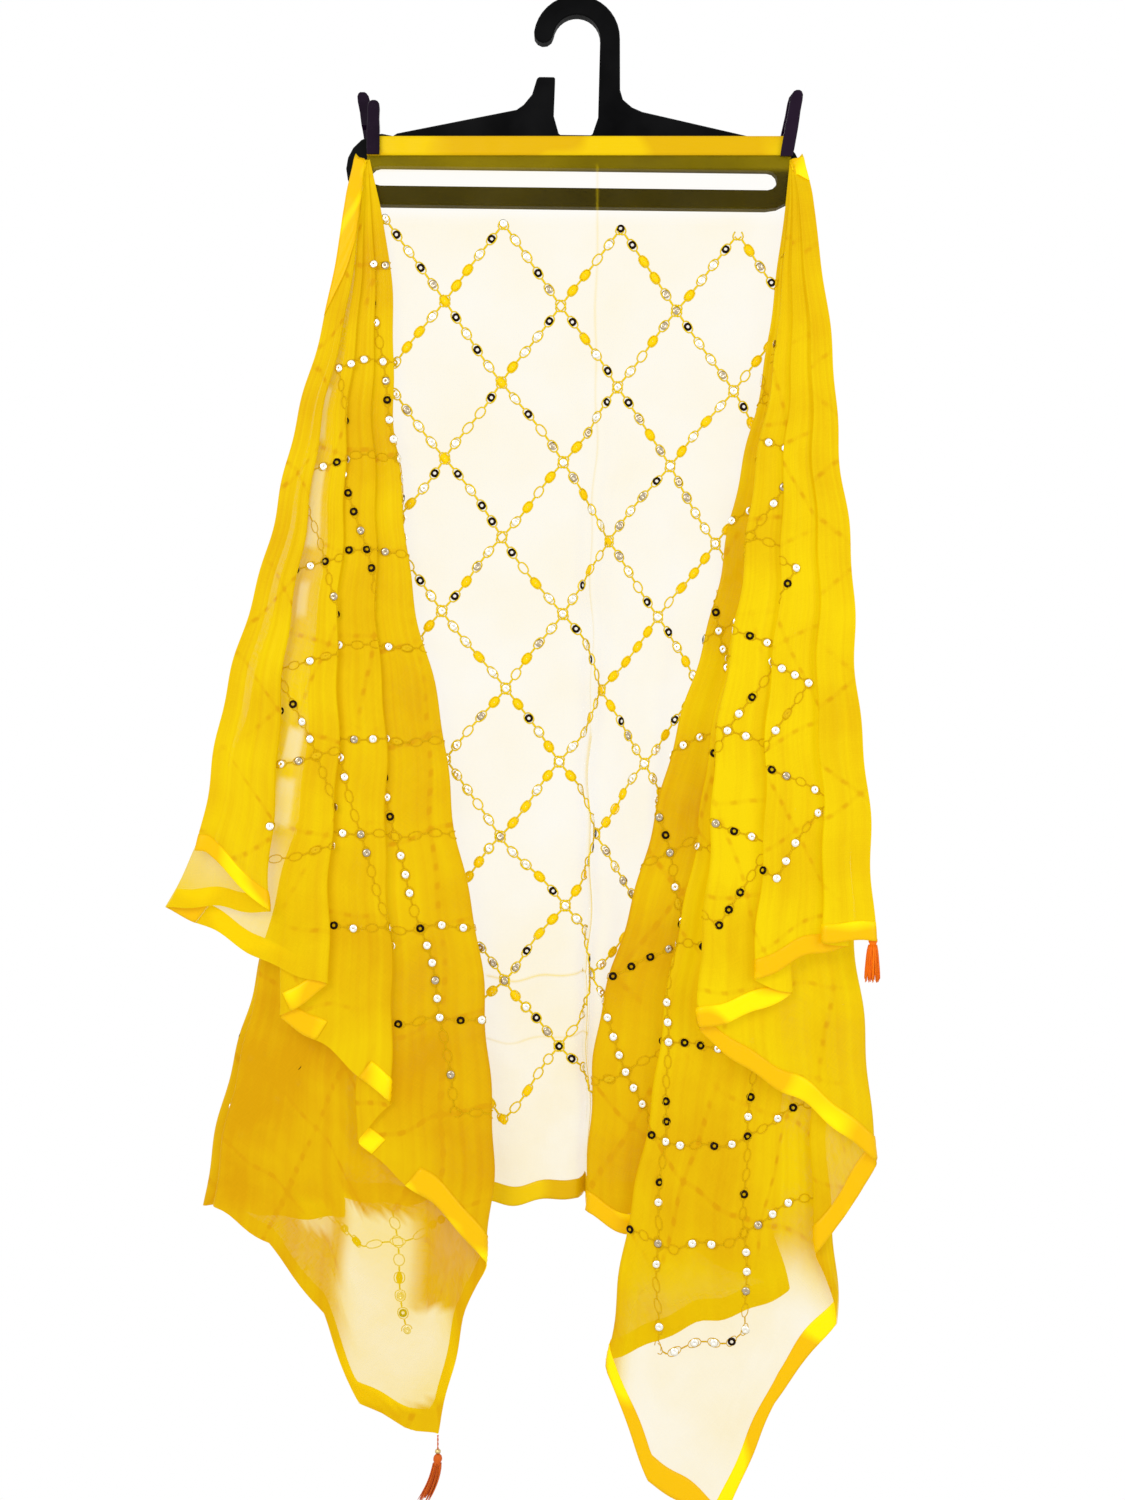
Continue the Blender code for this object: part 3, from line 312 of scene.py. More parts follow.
def wing_relief(wing, theta, r):
    """Height (metres) of a wing's creases and waves, kept well inside the space between its layers."""
    degrees = np.degrees(theta)
    height = np.zeros_like(r)
    for number, crease in enumerate(LEFT_CREASES if wing is LEFT else RIGHT_CREASES):
        waver = CREASE_WAVER * np.sin(r * (9.0 + number) + number)
        ends = smooth((r - crease.start) / CREASE_EASE) * smooth((crease.end - r) / CREASE_EASE)
        height += crease.height * np.exp(-((degrees - crease.angle - waver) / crease.width) ** 2) * ends
    height += 0.45 * np.sin(degrees * 1.9 + 7.0 * r) * np.sin(11.0 * r + 0.3 * degrees)
    height += 0.25 * np.sin(degrees * 4.7 - 13.0 * r + 1.0)
    height += 0.16 * np.sin(degrees * 3.1 + 2.0 * np.sin(5.0 * r)) * np.sin(degrees * 0.83 + 9.0 * r + 2.0)
    settle = smooth(degrees / 2.0) * np.clip(layer_spread(r), 0.0, 1.0)
    return 0.001 * height * settle


def panel_relief(u, v):
    """Height (metres) of the panel's creases, none at its sides."""
    height = np.zeros_like(u)
    for line in PANEL_LINES:
        du, dv = line.u1 - line.u0, line.v1 - line.v0
        share = np.clip(((u - line.u0) * du + (v - line.v0) * dv) / (du * du + dv * dv), 0.0, 1.0)
        away = np.hypot(u - line.u0 - share * du, v - line.v0 - share * dv)
        height += line.height * np.exp(-(away / line.width) ** 2)
    height += 0.35 * np.sin(31.0 * u + 3.0 * v) * np.sin(7.0 * v + 1.0)
    sides = smooth((u - LEFT.peg_u) / 0.03) * smooth((RIGHT.peg_u - u) / 0.03)
    return 0.001 * height * sides * smooth((v - 0.05) / 0.10)


def sway(points):
    """The slow waver of cloth that hangs free: its edges and hems undulate a little."""
    points = np.array(points, float)
    x, z = points[..., 0], points[..., 2]
    drop = np.maximum(PIVOT_Z - z, 0.0)
    free = smooth(drop / 0.30)
    dx = 0.0019 * np.sin(29.0 * drop + 11.0 * x) + 0.0012 * np.sin(71.0 * drop - 23.0 * x + 1.0)
    dz = 0.0030 * np.sin(58.0 * x + 2.0) + 0.0018 * np.sin(131.0 * x)
    points[..., 0] = x + dx * free
    points[..., 2] = z + dz * free * smooth((drop - 0.3) / 0.6)
    return points


def wing_frame(wing, theta, r):
    """Points and right-side normals of a creased wing at flat angles theta and distances r."""
    def surface(a, b):
        return fan_points(wing, a, b)

    normals = normals_of(surface, theta, r, wing.side)
    return surface(theta, r) + normals * wing_relief(wing, theta, r)[..., None], normals


def cloth_frame(u, v):
    """Points and right-side normals of the creased cloth at flat places u, v of one shape."""
    u, v = np.broadcast_arrays(np.asarray(u, float), np.asarray(v, float))
    points = np.empty(u.shape + (3,))
    normals = np.empty_like(points)
    between = (u >= LEFT.peg_u) & (u <= RIGHT.peg_u)
    if between.any():
        a, b = u[between], v[between]
        normals[between] = normals_of(panel_points, a, b, 1)
        points[between] = panel_points(a, b) + normals[between] * panel_relief(a, b)[..., None]
    for wing, mask in ((LEFT, u < LEFT.peg_u), (RIGHT, u > RIGHT.peg_u)):
        if mask.any():
            out, down = wing.side * (u[mask] - wing.peg_u), v[mask] - PIVOT_DROP
            points[mask], normals[mask] = wing_frame(wing, np.arctan2(out, down), np.hypot(out, down))
    return sway(points), normals


# ---------------------------------------------------------------- cover, and painted light and shade, of the cloth
BAR_COVER = 0.05            # over the hanger's bar, where the cloth is held flat
BAR_END = 0.065
UNDER_BORDER_COVER = 0.22   # just below the top border, the cloth is denser
UNDER_BORDER_END = 0.036
PANEL_COVER = 0.18
HEM_COVER = 0.40            # low on the panel
HEM_START, HEM_EASE = 0.68, 0.30
FALL_COVER = 0.97
SHEER_EDGE = 0.08
# Sheer places: middle u, v, radius, the flat angle they start from (degrees), and cover inside.
Sheer = namedtuple("Sheer", "u v radius angle cover")
SHEER = table(Sheer, (0.933, 0.996, 0.17, 31.5, 0.32), (-0.933, 0.190, 0.05, 60.0, 0.60))
# Windows in the left fall and its corner, where one layer is drawn thin: flat angle (degrees), from and
# to what distance from the peg, half width (degrees), and cover inside.
Window = namedtuple("Window", "angle start end half cover")
WINDOWS = table(
    Window,
    (73.6, 0.230, 0.285, 2.0, 0.82), (72.2, 0.305, 0.385, 1.7, 0.76), (71.7, 0.412, 0.450, 1.1, 0.84),
    (70.6, 0.548, 0.584, 1.1, 0.68), (70.5, 0.595, 0.645, 1.1, 0.72),
    (34.0, 1.000, 1.120, 2.2, 0.62), (35.8, 1.095, 1.190, 4.6, 0.62), (30.4, 1.035, 1.070, 1.3, 0.80),
)
WINDOW_EDGE = 0.006


def cover(u, v):
    """How much of the view one layer of the cloth covers, 0 to 1.

    The gathered falls look dense, and the panel and the two hanging corners sheer.
    """
    out = np.maximum(np.maximum(LEFT.peg_u - u, u - RIGHT.peg_u), 0.0)
    angle = np.degrees(np.arctan2(out, np.maximum(v - PIVOT_DROP, 0.02)))
    gathered = smooth((angle - 0.1) / np.where(u < 0.0, 3.0, 2.2))
    panel = BAR_COVER + (PANEL_COVER - BAR_COVER) * smooth((v - BAR_END) / 0.02)
    panel = panel + (UNDER_BORDER_COVER - BAR_COVER) * smooth((UNDER_BORDER_END - v) / 0.006)
    panel = panel + (HEM_COVER - PANEL_COVER) * smooth((v - HEM_START) / HEM_EASE)
    for line in PRESSED:
        place, off = (v, u - line.at) if line.along == "v" else (u, v - line.at)
        within = (place >= line.start) & (place <= line.end)
        panel = panel + line.cover * np.exp(-(off / line.width) ** 2) * within
    fall = np.full_like(u, FALL_COVER)
    for spot in SHEER:
        away = np.hypot(u - spot.u, v - spot.v)
        inside = (1.0 - smooth((away - spot.radius) / SHEER_EDGE)) * smooth((angle - spot.angle) / 1.5)
        fall = fall + (spot.cover - fall) * inside
    distance = np.hypot(out, v - PIVOT_DROP)
    for window in WINDOWS:
        ends = smooth((distance - window.start) / WINDOW_EDGE) * smooth((window.end - distance) / WINDOW_EDGE)
        inside = ends * smooth(2.0 * (1.0 - np.abs(angle - window.angle) / window.half)) * (u < 0.0)
        fall = fall + (window.cover - fall) * inside
    return panel + gathered * (fall - panel)


# Painted light and shade of the cloth, from amber (0), painted as shade, to lemon (1), painted as light:
# middle u, v, radius and tone of each patch.
Tone = namedtuple("Tone", "u v radius tone")
PLAIN_LIGHT_TONE = 0.45
PAINTED_LIGHT_PATCHES = table(
    Tone,
    (-0.80, 0.20, 0.35, 0.70), (-0.50, 0.75, 0.40, 0.16), (-0.90, 0.80, 0.30, 0.20),
    (0.75, 0.20, 0.45, 0.88), (0.45, 0.55, 0.25, 0.50), (0.80, 0.80, 0.30, 0.36),
    (0.30, 0.80, 0.22, 0.10),
)


def tone(u, v):
    """Painted light and shade at flat places: each patch pulls the plain tone its way, most at its middle."""
    pull = sum((patch.tone - PLAIN_LIGHT_TONE)
               * np.exp(-((u - patch.u) ** 2 + (v - patch.v) ** 2) / patch.radius**2) for patch in PAINTED_LIGHT_PATCHES)
    return PLAIN_LIGHT_TONE + pull


# ---------------------------------------------------------------- embroidery's sizes
TRELLIS_WIDE = 0.110        # a diamond's width along the cloth
TRELLIS_TALL = 0.140        # and its height
TRELLIS_U = 0.022           # place of its middle diamond's top
TRELLIS_V = 0.077
TRELLIS_BANDS = 12          # half diamonds between the top and the hem
TRELLIS_HALF = 9            # diamonds to each side of the middle one
TRELLIS_END = 0.885         # it stops this far from the cloth's middle
TRELLIS_CROWDING = 0.08     # its diamonds are this much taller at the top, and shorter at the foot
TRELLIS_SLOPE = 0.045       # at the top it runs down to the right, between the pegs
EYES = 5                    # thread eyes along each side of a diamond, those on its ends shared
EYE_HALF = 0.0037           # half an eye's width
EYE_SHARE = 0.66            # an eye's length to the distance between eyes
LINK_HALF = 0.0003          # the two threads lie this close where they twist together
# places of a thread's points from one eye's middle to the next, as shares of that distance
EYE_STEPS = (0.0, 0.12, 0.20, 0.27, 0.33, 0.42, 0.58, 0.67, 0.73, 0.80, 0.88)
THREAD_LIFT = 0.0007
PANEL_THREAD = 0.00085      # thread radius on the panel
WING_THREAD = 0.00050
SEQUIN_RADIUS = 0.0041
SEQUIN_SIDES = 12
SEQUIN_TILT = 0.16
DARK_HOLE = 0.0015          # the dark ones are rings
BRIGHT_HOLE = 0.0005
BRIGHT, GREY, DARK = 0.0, 0.45, 1.0     # kinds of sequin
BRIGHT_SHARE, GREY_SHARE = 0.56, 0.16
# along the thread, across it, and height of each ring of an eye filled with stitches: a dot that paints the
# shadow the eye casts along its line
SHADOW_DOT_RINGS = ((0.0056, 0.0033, 0.0004), (0.0050, 0.0029, 0.0011), (0.0028, 0.0016, 0.0016),
             (0.0004, 0.0003, 0.0017), (0.0004, 0.0003, 0.0006), (0.0054, 0.0031, 0.0003))
SHADOW_DOT_SIDES = 8
# share of eyes that are filled with stitches, dots that paint the eyes' shadows, on sides that lean like a
# slash, and on the others, and share of eyes left empty
Eyes = namedtuple("Eyes", "slash other empty")
EYE_KINDS = {
    "middle": Eyes(0.46, 0.14, 0.10),
    "left": Eyes(0.05, 0.04, 0.44),
    "right": Eyes(0.05, 0.04, 0.40),
}


# ---------------------------------------------------------------- meshes from arrays
def link(name, data):
    """Object that holds data, in the scene."""
    made = bpy.data.objects.new(name, data)
    bpy.context.scene.collection.objects.link(made)
    return made


def add_mesh(name, points, faces, skin, nodes=(), maps=None, layers=None):
    """Piece of the object, from an array of points and a list of faces.

    skin is its finish, nodes are the solids that it stands for, which are hidden, maps its UV maps, and
    layers its points' values.
    """
    mesh = bpy.data.meshes.new(name)
    mesh.from_pydata(points.reshape(-1, 3).tolist(), [], faces)
    corners = np.empty(len(mesh.loops), np.int32)
    mesh.loops.foreach_get("vertex_index", corners)
    for key, places in (maps or {}).items():
        layer = mesh.uv_layers.new(name=key)
        layer.uv.foreach_set("vector", places.reshape(-1, 2)[corners].astype(np.float32).ravel())
    for key, values in (layers or {}).items():
        layer = mesh.attributes.new(key, "FLOAT", "POINT")
        layer.data.foreach_set("value", values.astype(np.float32).ravel())
    mesh.materials.append(skin)
    mesh.shade_smooth()
    made = link(name, mesh)
    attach(made, "root")
    if nodes:
        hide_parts(*nodes)
    return made


def grid_faces(columns, rows, start=0):
    """Quads of a grid whose points run down each column in turn."""
    i, j = np.meshgrid(np.arange(columns - 1), np.arange(rows - 1), indexing="ij")
    corner = (start + i * rows + j).ravel()
    return np.stack([corner, corner + rows, corner + rows + 1, corner + 1], axis=1)


def ring_faces(count, rings, sides, hollow=False):
    """Faces of count turned pieces: quads from ring to ring, and a cap at each end.

    A hollow piece has no caps, and quads from its last ring back to its first.
    """
    k, ring, m = np.meshgrid(np.arange(count), np.arange(rings - 1 + hollow), np.arange(sides), indexing="ij")
    here = (k * rings + ring) * sides
    there = (k * rings + (ring + 1) % rings) * sides
    after = (m + 1) % sides
    if hollow:
        return np.stack([here + m, here + after, there + after, there + m], -1).reshape(-1, 4).tolist()
    faces = np.stack([here + m, there + m, there + after, here + after], -1).reshape(-1, 4).tolist()
    for start in range(0, count * rings * sides, rings * sides):
        end = start + (rings - 1) * sides
        faces += [list(range(start, start + sides)), list(range(end + sides - 1, end - 1, -1))]
    return faces


def round_angles(sides):
    return np.arange(sides) * 2 * math.pi / sides


def wall(points, normals, thickness):
    """Points and faces of a closed thin wall on a grid of points: right side, back, and four edges."""
    columns, rows = points.shape[:2]
    count = columns * rows
    both = np.concatenate([(points + normals * thickness).reshape(-1, 3), points.reshape(-1, 3)])
    front = grid_faces(columns, rows)
    back = grid_faces(columns, rows, count)[:, ::-1]
    ring = [(i, 0) for i in range(columns)] + [(columns - 1, j) for j in range(1, rows)]
    ring += [(i, rows - 1) for i in range(columns - 2, -1, -1)] + [(0, j) for j in range(rows - 2, 0, -1)]
    ring = np.array([i * rows + j for i, j in ring])
    after = np.roll(ring, -1)
    edge = np.stack([ring, ring + count, after + count, after], axis=1)
    return both, np.concatenate([front, back, edge]).tolist()


def tubes(name, lines, normals, radius, sides, skin, nodes=(), layers=None):
    """Closed tubes along many polylines of one length, an array (lines, points, 3)."""
    count, steps = lines.shape[:2]
    tangent = unit(np.gradient(lines, axis=1))
    across = unit(np.cross(tangent, normals))
    up = np.cross(across, tangent)
    turn = round_angles(sides)
    radius = np.broadcast_to(np.asarray(radius, float), (count, steps))[..., None, None]
    ring = np.cos(turn)[:, None] * up[:, :, None, :] + np.sin(turn)[:, None] * across[:, :, None, :]
    points = lines[:, :, None, :] + radius * ring
    values = {key: np.repeat(value, steps * sides) for key, value in (layers or {}).items()}
    return add_mesh(name, points, ring_faces(count, steps, sides), skin, nodes, None, values)


# ---------------------------------------------------------------- materials
class Nodes:
    """A node tree, with short ways to add and join its nodes."""

    def __init__(self, tree, surface):
        self.tree = tree
        self.surface = tree.nodes[surface]

    def node(self, kind, inputs=(), **settings):
        made = self.tree.nodes.new(kind)
        for key, value in settings.items():
            setattr(made, key, value)
        for key, value in dict(inputs).items():
            if isinstance(value, bpy.types.NodeSocket):
                self.tree.links.new(value, made.inputs[key])
            else:
                made.inputs[key].default_value = value
        return made

    def math(self, operation, a, b=0.0):
        return self.node("ShaderNodeMath", {0: a, 1: b}, operation=operation).outputs[0]

    def range(self, value, low, high, to_low=0.0, to_high=1.0):
        made = self.node("ShaderNodeMapRange", {"Value": value, "From Min": low, "From Max": high,
                                                "To Min": to_low, "To Max": to_high})
        return made.outputs["Result"]

    def join(self, socket, value):
        self.tree.links.new(value, self.surface.inputs[socket])


class Shader(Nodes):
    """One procedural material."""

    def __init__(self, name, **sockets):
        self.material = bpy.data.materials.new(name)
        self.material.use_nodes = True
        super().__init__(self.material.node_tree, "Principled BSDF")
        for socket, value in sockets.items():
            self.surface.inputs[socket.replace("_", " ")].default_value = value

    def attribute(self, name):
        return self.node("ShaderNodeAttribute", attribute_name=name).outputs["Fac"]

    def uv(self, name):
        return self.node("ShaderNodeUVMap", uv_map=name).outputs["UV"]

    def place(self):
        return self.node("ShaderNodeTexCoord").outputs["Object"]

    def scaled(self, vector, scale):
        return self.node("ShaderNodeMapping", {"Vector": vector, "Scale": scale}).outputs["Vector"]

    def noise(self, vector, scale, detail):
        made = self.node("ShaderNodeTexNoise", {"Vector": vector, "Scale": scale, "Detail": detail})
        return made.outputs["Fac"]

    def cloth_noise(self, across, along, detail, uv_map="flat"):
        """Noise of so many grains to a metre of the flat cloth, or on another of its maps."""
        return self.noise(self.scaled(self.uv(uv_map), (across, along, 1.0)), 1.0, detail)

    def blend(self, share, a, b):
        """Colour between a and b by share."""
        made = self.node("ShaderNodeMix", data_type="RGBA")
        for key, value in (("Factor_Float", share), ("A_Color", a), ("B_Color", b)):
            socket = next(s for s in made.inputs if s.identifier == key)
            if isinstance(value, bpy.types.NodeSocket):
                self.tree.links.new(value, socket)
            else:
                socket.default_value = (*value, 1.0)
        return next(s for s in made.outputs if s.identifier == "Result_Color")

    def colour(self, value, painted_glow=False):
        """Colour of the surface; with a painted glow it also glows in that colour, though it is no lamp."""
        self.join("Base Color", value)
        if painted_glow:
            self.join("Emission Color", value)

    def gloss(self, value, smoothest, dullest):
        self.join("Roughness", self.range(value, 0.3, 0.7, smoothest, dullest))

    def bump(self, height, strength, distance):
        made = self.node("ShaderNodeBump", {"Height": height, "Strength": strength, "Distance": distance})
        self.join("Normal", made.outputs["Normal"])


CLOTH_PAINTED_GLOW = 0.70          # painted glow: the cloth glows in its own colour, so that its folds don't go dark
# painted glow of the ribbons, in their own colour
RIBBON_PAINTED_GLOW = 0.32
STREAKS = 95.0              # fine wrinkles to a radian of a fall
TRACE_DEPTH = 0.55          # how far the embroidery beneath pulls the cloth's tone to amber
TRACE_LINE = (0.010, 0.036)     # where a trace fades, from a line's middle, in diamonds
TRACE_EYE = (0.020, 0.052)      # and from the middle of an eye
TRACE_BETWEEN = 0.25            # share of it that is left between the eyes


def traces(made):
    """Where the embroidery of the layer beneath shows through: its eyes, strung along its diamonds."""
    parts = made.node("ShaderNodeSeparateXYZ", {"Vector": made.uv("below")}).outputs
    marks = []
    for across, along in (("X", "Y"), ("Y", "X")):
        line = made.range(made.math("PINGPONG", parts[across], 0.5), *TRACE_LINE, 1.0, 0.0)
        eyes = made.range(made.math("PINGPONG", parts[along], 0.5 / EYES), *TRACE_EYE, 1.0, TRACE_BETWEEN)
        marks.append(made.math("MULTIPLY", line, eyes))
    return made.math("MAXIMUM", *marks)


def organza():
    """Sheer plain weave: warp and weft barely seen, and slubs; each layer covers a part of the view.

    Fine wrinkles run down the falls from the pegs, in the bump and in painted light and shade a little
    lighter and darker than the cloth.
    """
    made = Shader("organza", Roughness=0.55, Specular_IOR_Level=0.06, Sheen_Weight=0.10,
                  Sheen_Roughness=0.35, Sheen_Tint=(1.0, 0.80, 0.10, 1.0), Emission_Strength=CLOTH_PAINTED_GLOW)
    weave = made.math("ADD", made.cloth_noise(1500.0, 60.0, 2.0), made.cloth_noise(60.0, 1500.0, 2.0))
    mottle = made.cloth_noise(9.0, 9.0, 4.0)
    streaks = made.cloth_noise(STREAKS, 2.2, 5.0, "fan")
    # painted light and shade: the tone of the cloth's patches of painted light, with random mottle
    shade = made.math("ADD", made.attribute("tone"), made.range(mottle, 0.30, 0.70, -0.28, 0.28))
    # painted light and shade of the fine wrinkles, a little lighter and darker along them
    shade = made.math("ADD", shade, made.range(streaks, 0.30, 0.70, -0.15, 0.15))
    dense = made.range(made.attribute("cover"), 0.60, FALL_COVER)
    patches = made.range(made.cloth_noise(7.0, 7.0, 1.0), 0.38, 0.55, 0.0, TRACE_DEPTH)
    shown = made.math("MULTIPLY", made.math("MULTIPLY", traces(made), patches), dense)
    shade = made.math("SUBTRACT", made.range(shade, 0.0, 1.0), shown)
    lively = made.blend(shade, (0.42, 0.215, 0.0), (0.525, 0.380, 0.0))
    # painted glow: the cloth also glows in its own colour
    made.colour(made.blend(dense, (0.52, 0.375, 0.0), lively), painted_glow=True)
    uneven = made.range(weave, 0.7, 1.3, 0.95, 1.05)
    depth = made.range(dense, 0.0, 1.0, 1.5, 0.3)
    cloudy = made.math("ADD", made.math("MULTIPLY", made.math("SUBTRACT", mottle, 0.5), depth), 1.0)
    alpha = made.math("MULTIPLY", made.math("MULTIPLY", made.attribute("cover"), uneven), cloudy)
    made.join("Alpha", alpha)
    made.bump(made.math("ADD", made.math("MULTIPLY", weave, 0.15), streaks), 0.30, 0.0016)
    return made.material


def satin(name, plain, painted_gleam):
    """Satin ribbon: silky floats along it, and random stretches painted lighter, a painted highlight."""
    made = Shader(name, Specular_IOR_Level=0.10, Sheen_Weight=0.05, Sheen_Roughness=0.3,
                  Sheen_Tint=(1.0, 0.85, 0.1, 1.0), Emission_Strength=RIBBON_PAINTED_GLOW)
    floats = made.cloth_noise(30.0, 2200.0, 2.0)
    # painted highlight: random stretches of the ribbon are blended to its gleaming colour
    drift = made.cloth_noise(11.0, 14.0, 1.0)
    made.colour(made.blend(made.range(drift, 0.52, 0.60), plain, painted_gleam), painted_glow=True)
    made.gloss(floats, 0.24, 0.38)
    made.bump(floats, 0.30, 0.0004)
    return made.material


def floss(name, dark, bright):
    """Silky floss: fine streaks down each strand, strands of uneven shade."""
    made = Shader(name, Roughness=0.45, Specular_IOR_Level=0.15, Sheen_Weight=0.05, Sheen_Roughness=0.3)
    streaks = made.noise(made.scaled(made.place(), (2500.0, 2500.0, 90.0)), 1.0, 2.0)
    strand = made.math("MULTIPLY", made.attribute("shade"), 0.7)
    made.colour(made.blend(made.math("ADD", strand, made.math("MULTIPLY", streaks, 0.4)), dark, bright))
    made.bump(streaks, 0.3, 0.0003)
    return made.material


def stitch_thread(name, dark, bright, painted_glow_strength):
    """Yellow embroidery thread with its twist, and a painted glow in its own colour, as strong as its last
    argument.
    """
    made = Shader(name, Roughness=0.50, Specular_IOR_Level=0.10, Emission_Strength=painted_glow_strength)
    twist = made.noise(made.place(), 1400.0, 1.0)
    made.colour(made.blend(made.range(twist, 0.35, 0.65), dark, bright), painted_glow=True)
    made.bump(twist, 0.4, 0.0003)
    return made.material


def foil():
    """Sequin foil: bright, grey and dark discs, each with its own tint, faintly scuffed."""
    made = Shader("sequin_foil", Metallic=1.0)
    kind = made.attribute("kind")
    pale = made.blend(made.range(kind, 0.0, GREY), (0.96, 0.94, 0.84), (0.50, 0.42, 0.30))
    made.colour(made.blend(made.range(kind, 0.55, 0.75), pale, (0.016, 0.008, 0.005)))
    made.gloss(made.noise(made.place(), 900.0, 3.0), 0.10, 0.26)
    return made.material


def metal(name, scale, detail, dark, bright, smoothest, dullest):
    """Metal with fine marks in its shade and gloss: wear on brass, drawn lines on wire."""
    made = Shader(name, Metallic=1.0)
    marks = made.noise(made.place(), scale, detail)
    made.colour(made.blend(marks, dark, bright))
    made.gloss(marks, smoothest, dullest)
    return made.material


def moulded_plastic(name, colour, shine, smoothest, dullest, grain):
    """Moulded plastic: faint flow marks in its shade, a fine skin, and duller handled areas."""
    made = Shader(name, Specular_IOR_Level=shine)
    flow = made.noise(made.place(), 18.0, 4.0)
    skin = made.noise(made.place(), grain, 2.0)
    lighter = [1.9 * part + 0.004 for part in colour]
    made.colour(made.blend(made.range(flow, 0.35, 0.75), colour, lighter))
    made.gloss(flow, smoothest, dullest)
    made.bump(skin, 0.12, 0.0003)
    return made.material


# ---------------------------------------------------------------- the cloth
FOLD_STEPS = 6              # columns round each half of a fold
FOLD_SHARE = 0.00075        # flat width of half a fold, for each mm of its gap
RUN_STEP = 0.0060           # between columns on a flat run, near the hem
ROW_STEP = 0.0075
BORDER_TURNS = np.array([0.25, 0.5, 0.75, 1.0])     # columns of the top border, as shares of its width
PLEAT_STEPS = np.array([-0.0022, -0.0011, 0.0, 0.0011, 0.0022])     # columns beside a pressed crease
CLOTH_NODES = ("gather", "back", "tuck", "corner", "inner", "side", "fall", "middle", "front")


def wing_columns(wing):
    """Flat angles (radians) of a wing's columns, close together round its folds."""
    columns = [0.0]
    for a, b in zip(wing.folds, wing.folds[1:]):
        width = math.radians(b.cloth - a.cloth)
        turn = [min(0.35, FOLD_SHARE * row.gap / width) if row.kind == "fold" else 0.0 for row in (a, b)]
        parts = [(0.0, turn[0], FOLD_STEPS), (turn[0], 1.0 - turn[1], None), (1.0 - turn[1], 1.0, FOLD_STEPS)]
        for low, high, steps in parts:
            if high <= low:
                continue
            steps = steps or max(2, round((high - low) * width / RUN_STEP))
            shares = low + (high - low) * np.arange(1, steps + 1) / steps
            columns += [math.radians(a.cloth) + width * share for share in shares]
    return np.array(columns)


def beneath(wing, theta, r):
    """Trellis place, counted along its two diagonals, of the layer that each fold lays under the next."""
    folds = np.radians([0.0] + [row.cloth for row in wing.folds if row.kind == "fold"])
    fold = folds[np.searchsorted(folds, theta, side="right") - 1]
    mirrored = 2 * fold - theta
    across = (wing.peg_u + wing.side * r * np.sin(mirrored) - TRELLIS_U) / TRELLIS_WIDE
    down = (PIVOT_DROP + r * np.cos(mirrored) - TRELLIS_V) / TRELLIS_TALL
    return np.stack([across + down, across - down], -1)


def add_cloth(name, points, u, v, skin, nodes, **maps):
    """A stretch of the cloth as a thin sheet, with its cover and its painted light and shade."""
    maps = {"flat": np.stack([u, v], -1), **maps}
    layers = {"cover": cover(u, v), "tone": tone(u, v)}
    return add_mesh(name, points, grid_faces(*u.shape).tolist(), skin, nodes, maps, layers)


def build_wing_cloth(wing, skin):
    """One fall of the cloth, from under its peg to its hem."""
    columns = wing_columns(wing)
    rows = int((wing_limit(wing, corner_angle(wing)) - FALL_START) / ROW_STEP)
    share = np.linspace(0.0, 1.0, rows)
    theta = np.repeat(columns[:, None], rows, axis=1)
    r = FALL_START + (wing_limit(wing, columns) - FALL_START)[:, None] * share[None, :]
    # the top border lies past the last column
    r_top = np.repeat(r[-1][None, :], len(BORDER_TURNS), axis=0)
    out = np.arcsin(np.clip(PIVOT_DROP / r_top, 0.0, 0.80))
    theta_top = math.pi / 2 + out * BORDER_TURNS[:, None]
    theta, r = np.concatenate([theta, theta_top]), np.concatenate([r, r_top])
    u = wing.peg_u + wing.side * r * np.sin(theta)
    v = PIVOT_DROP + r * np.cos(theta)
    nodes = [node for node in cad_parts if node.startswith(wing.name)
             and node.split("_", 1)[1] in CLOTH_NODES]
    return add_cloth(f"{wing.name}_cloth", sway(wing_frame(wing, theta, r)[0]), u, v, skin, nodes,
                     fan=np.stack([theta, r], -1), below=beneath(wing, theta, r))


def build_panel_cloth(skin):
    """The panel between the pegs, with extra columns and rows where it is pressed."""
    across = np.union1d(np.linspace(LEFT.peg_u, RIGHT.peg_u, 111), PLEAT_STEPS)
    down = np.concatenate([np.linspace(0.0, 0.060, 13)[:-1], np.linspace(0.060, CLOTH_WIDTH, 151)])
    down = np.union1d(down, np.concatenate([line.at + PLEAT_STEPS for line in PRESSED if line.along == "u"]))
    u, v = np.meshgrid(across, down, indexing="ij")
    return add_cloth("middle_cloth", cloth_frame(u, v)[0], u, v, skin, ["middle_panel"],
                     fan=np.stack([0.4 * u, 0.1 * v], -1))


# ---------------------------------------------------------------- ribbons
RIBBON_LIFT = 0.0007
RIBBON_WALL = 0.0004
RIBBON_PUCKER = 0.00035
RIBBON_STEP = 0.004
RIBBON_INSET = np.linspace(0.0, RIBBON_WIDTH, 7)        # its columns, in from the cloth's edge
TOP_SHOWN = {"left": 0.170, "right": 0.040}      # how far from its peg each top border stays on the face
# Down each end, from v to v: whether the border shows on the cloth's face or is turned under it.
Run = namedtuple("Run", "top bottom under")
END_RUNS = {
    "left": table(Run, (0.000, 0.092, False), (0.092, 0.215, False), (0.215, 0.385, True),
                  (0.385, 0.445, False), (0.445, 0.500, True), (0.500, 0.620, False),
                  (0.620, 0.660, True), (0.660, CLOTH_WIDTH, False)),
    "right": table(Run, (0.000, 0.373, False), (0.373, 0.565, True), (0.565, CLOTH_WIDTH, False)),
}


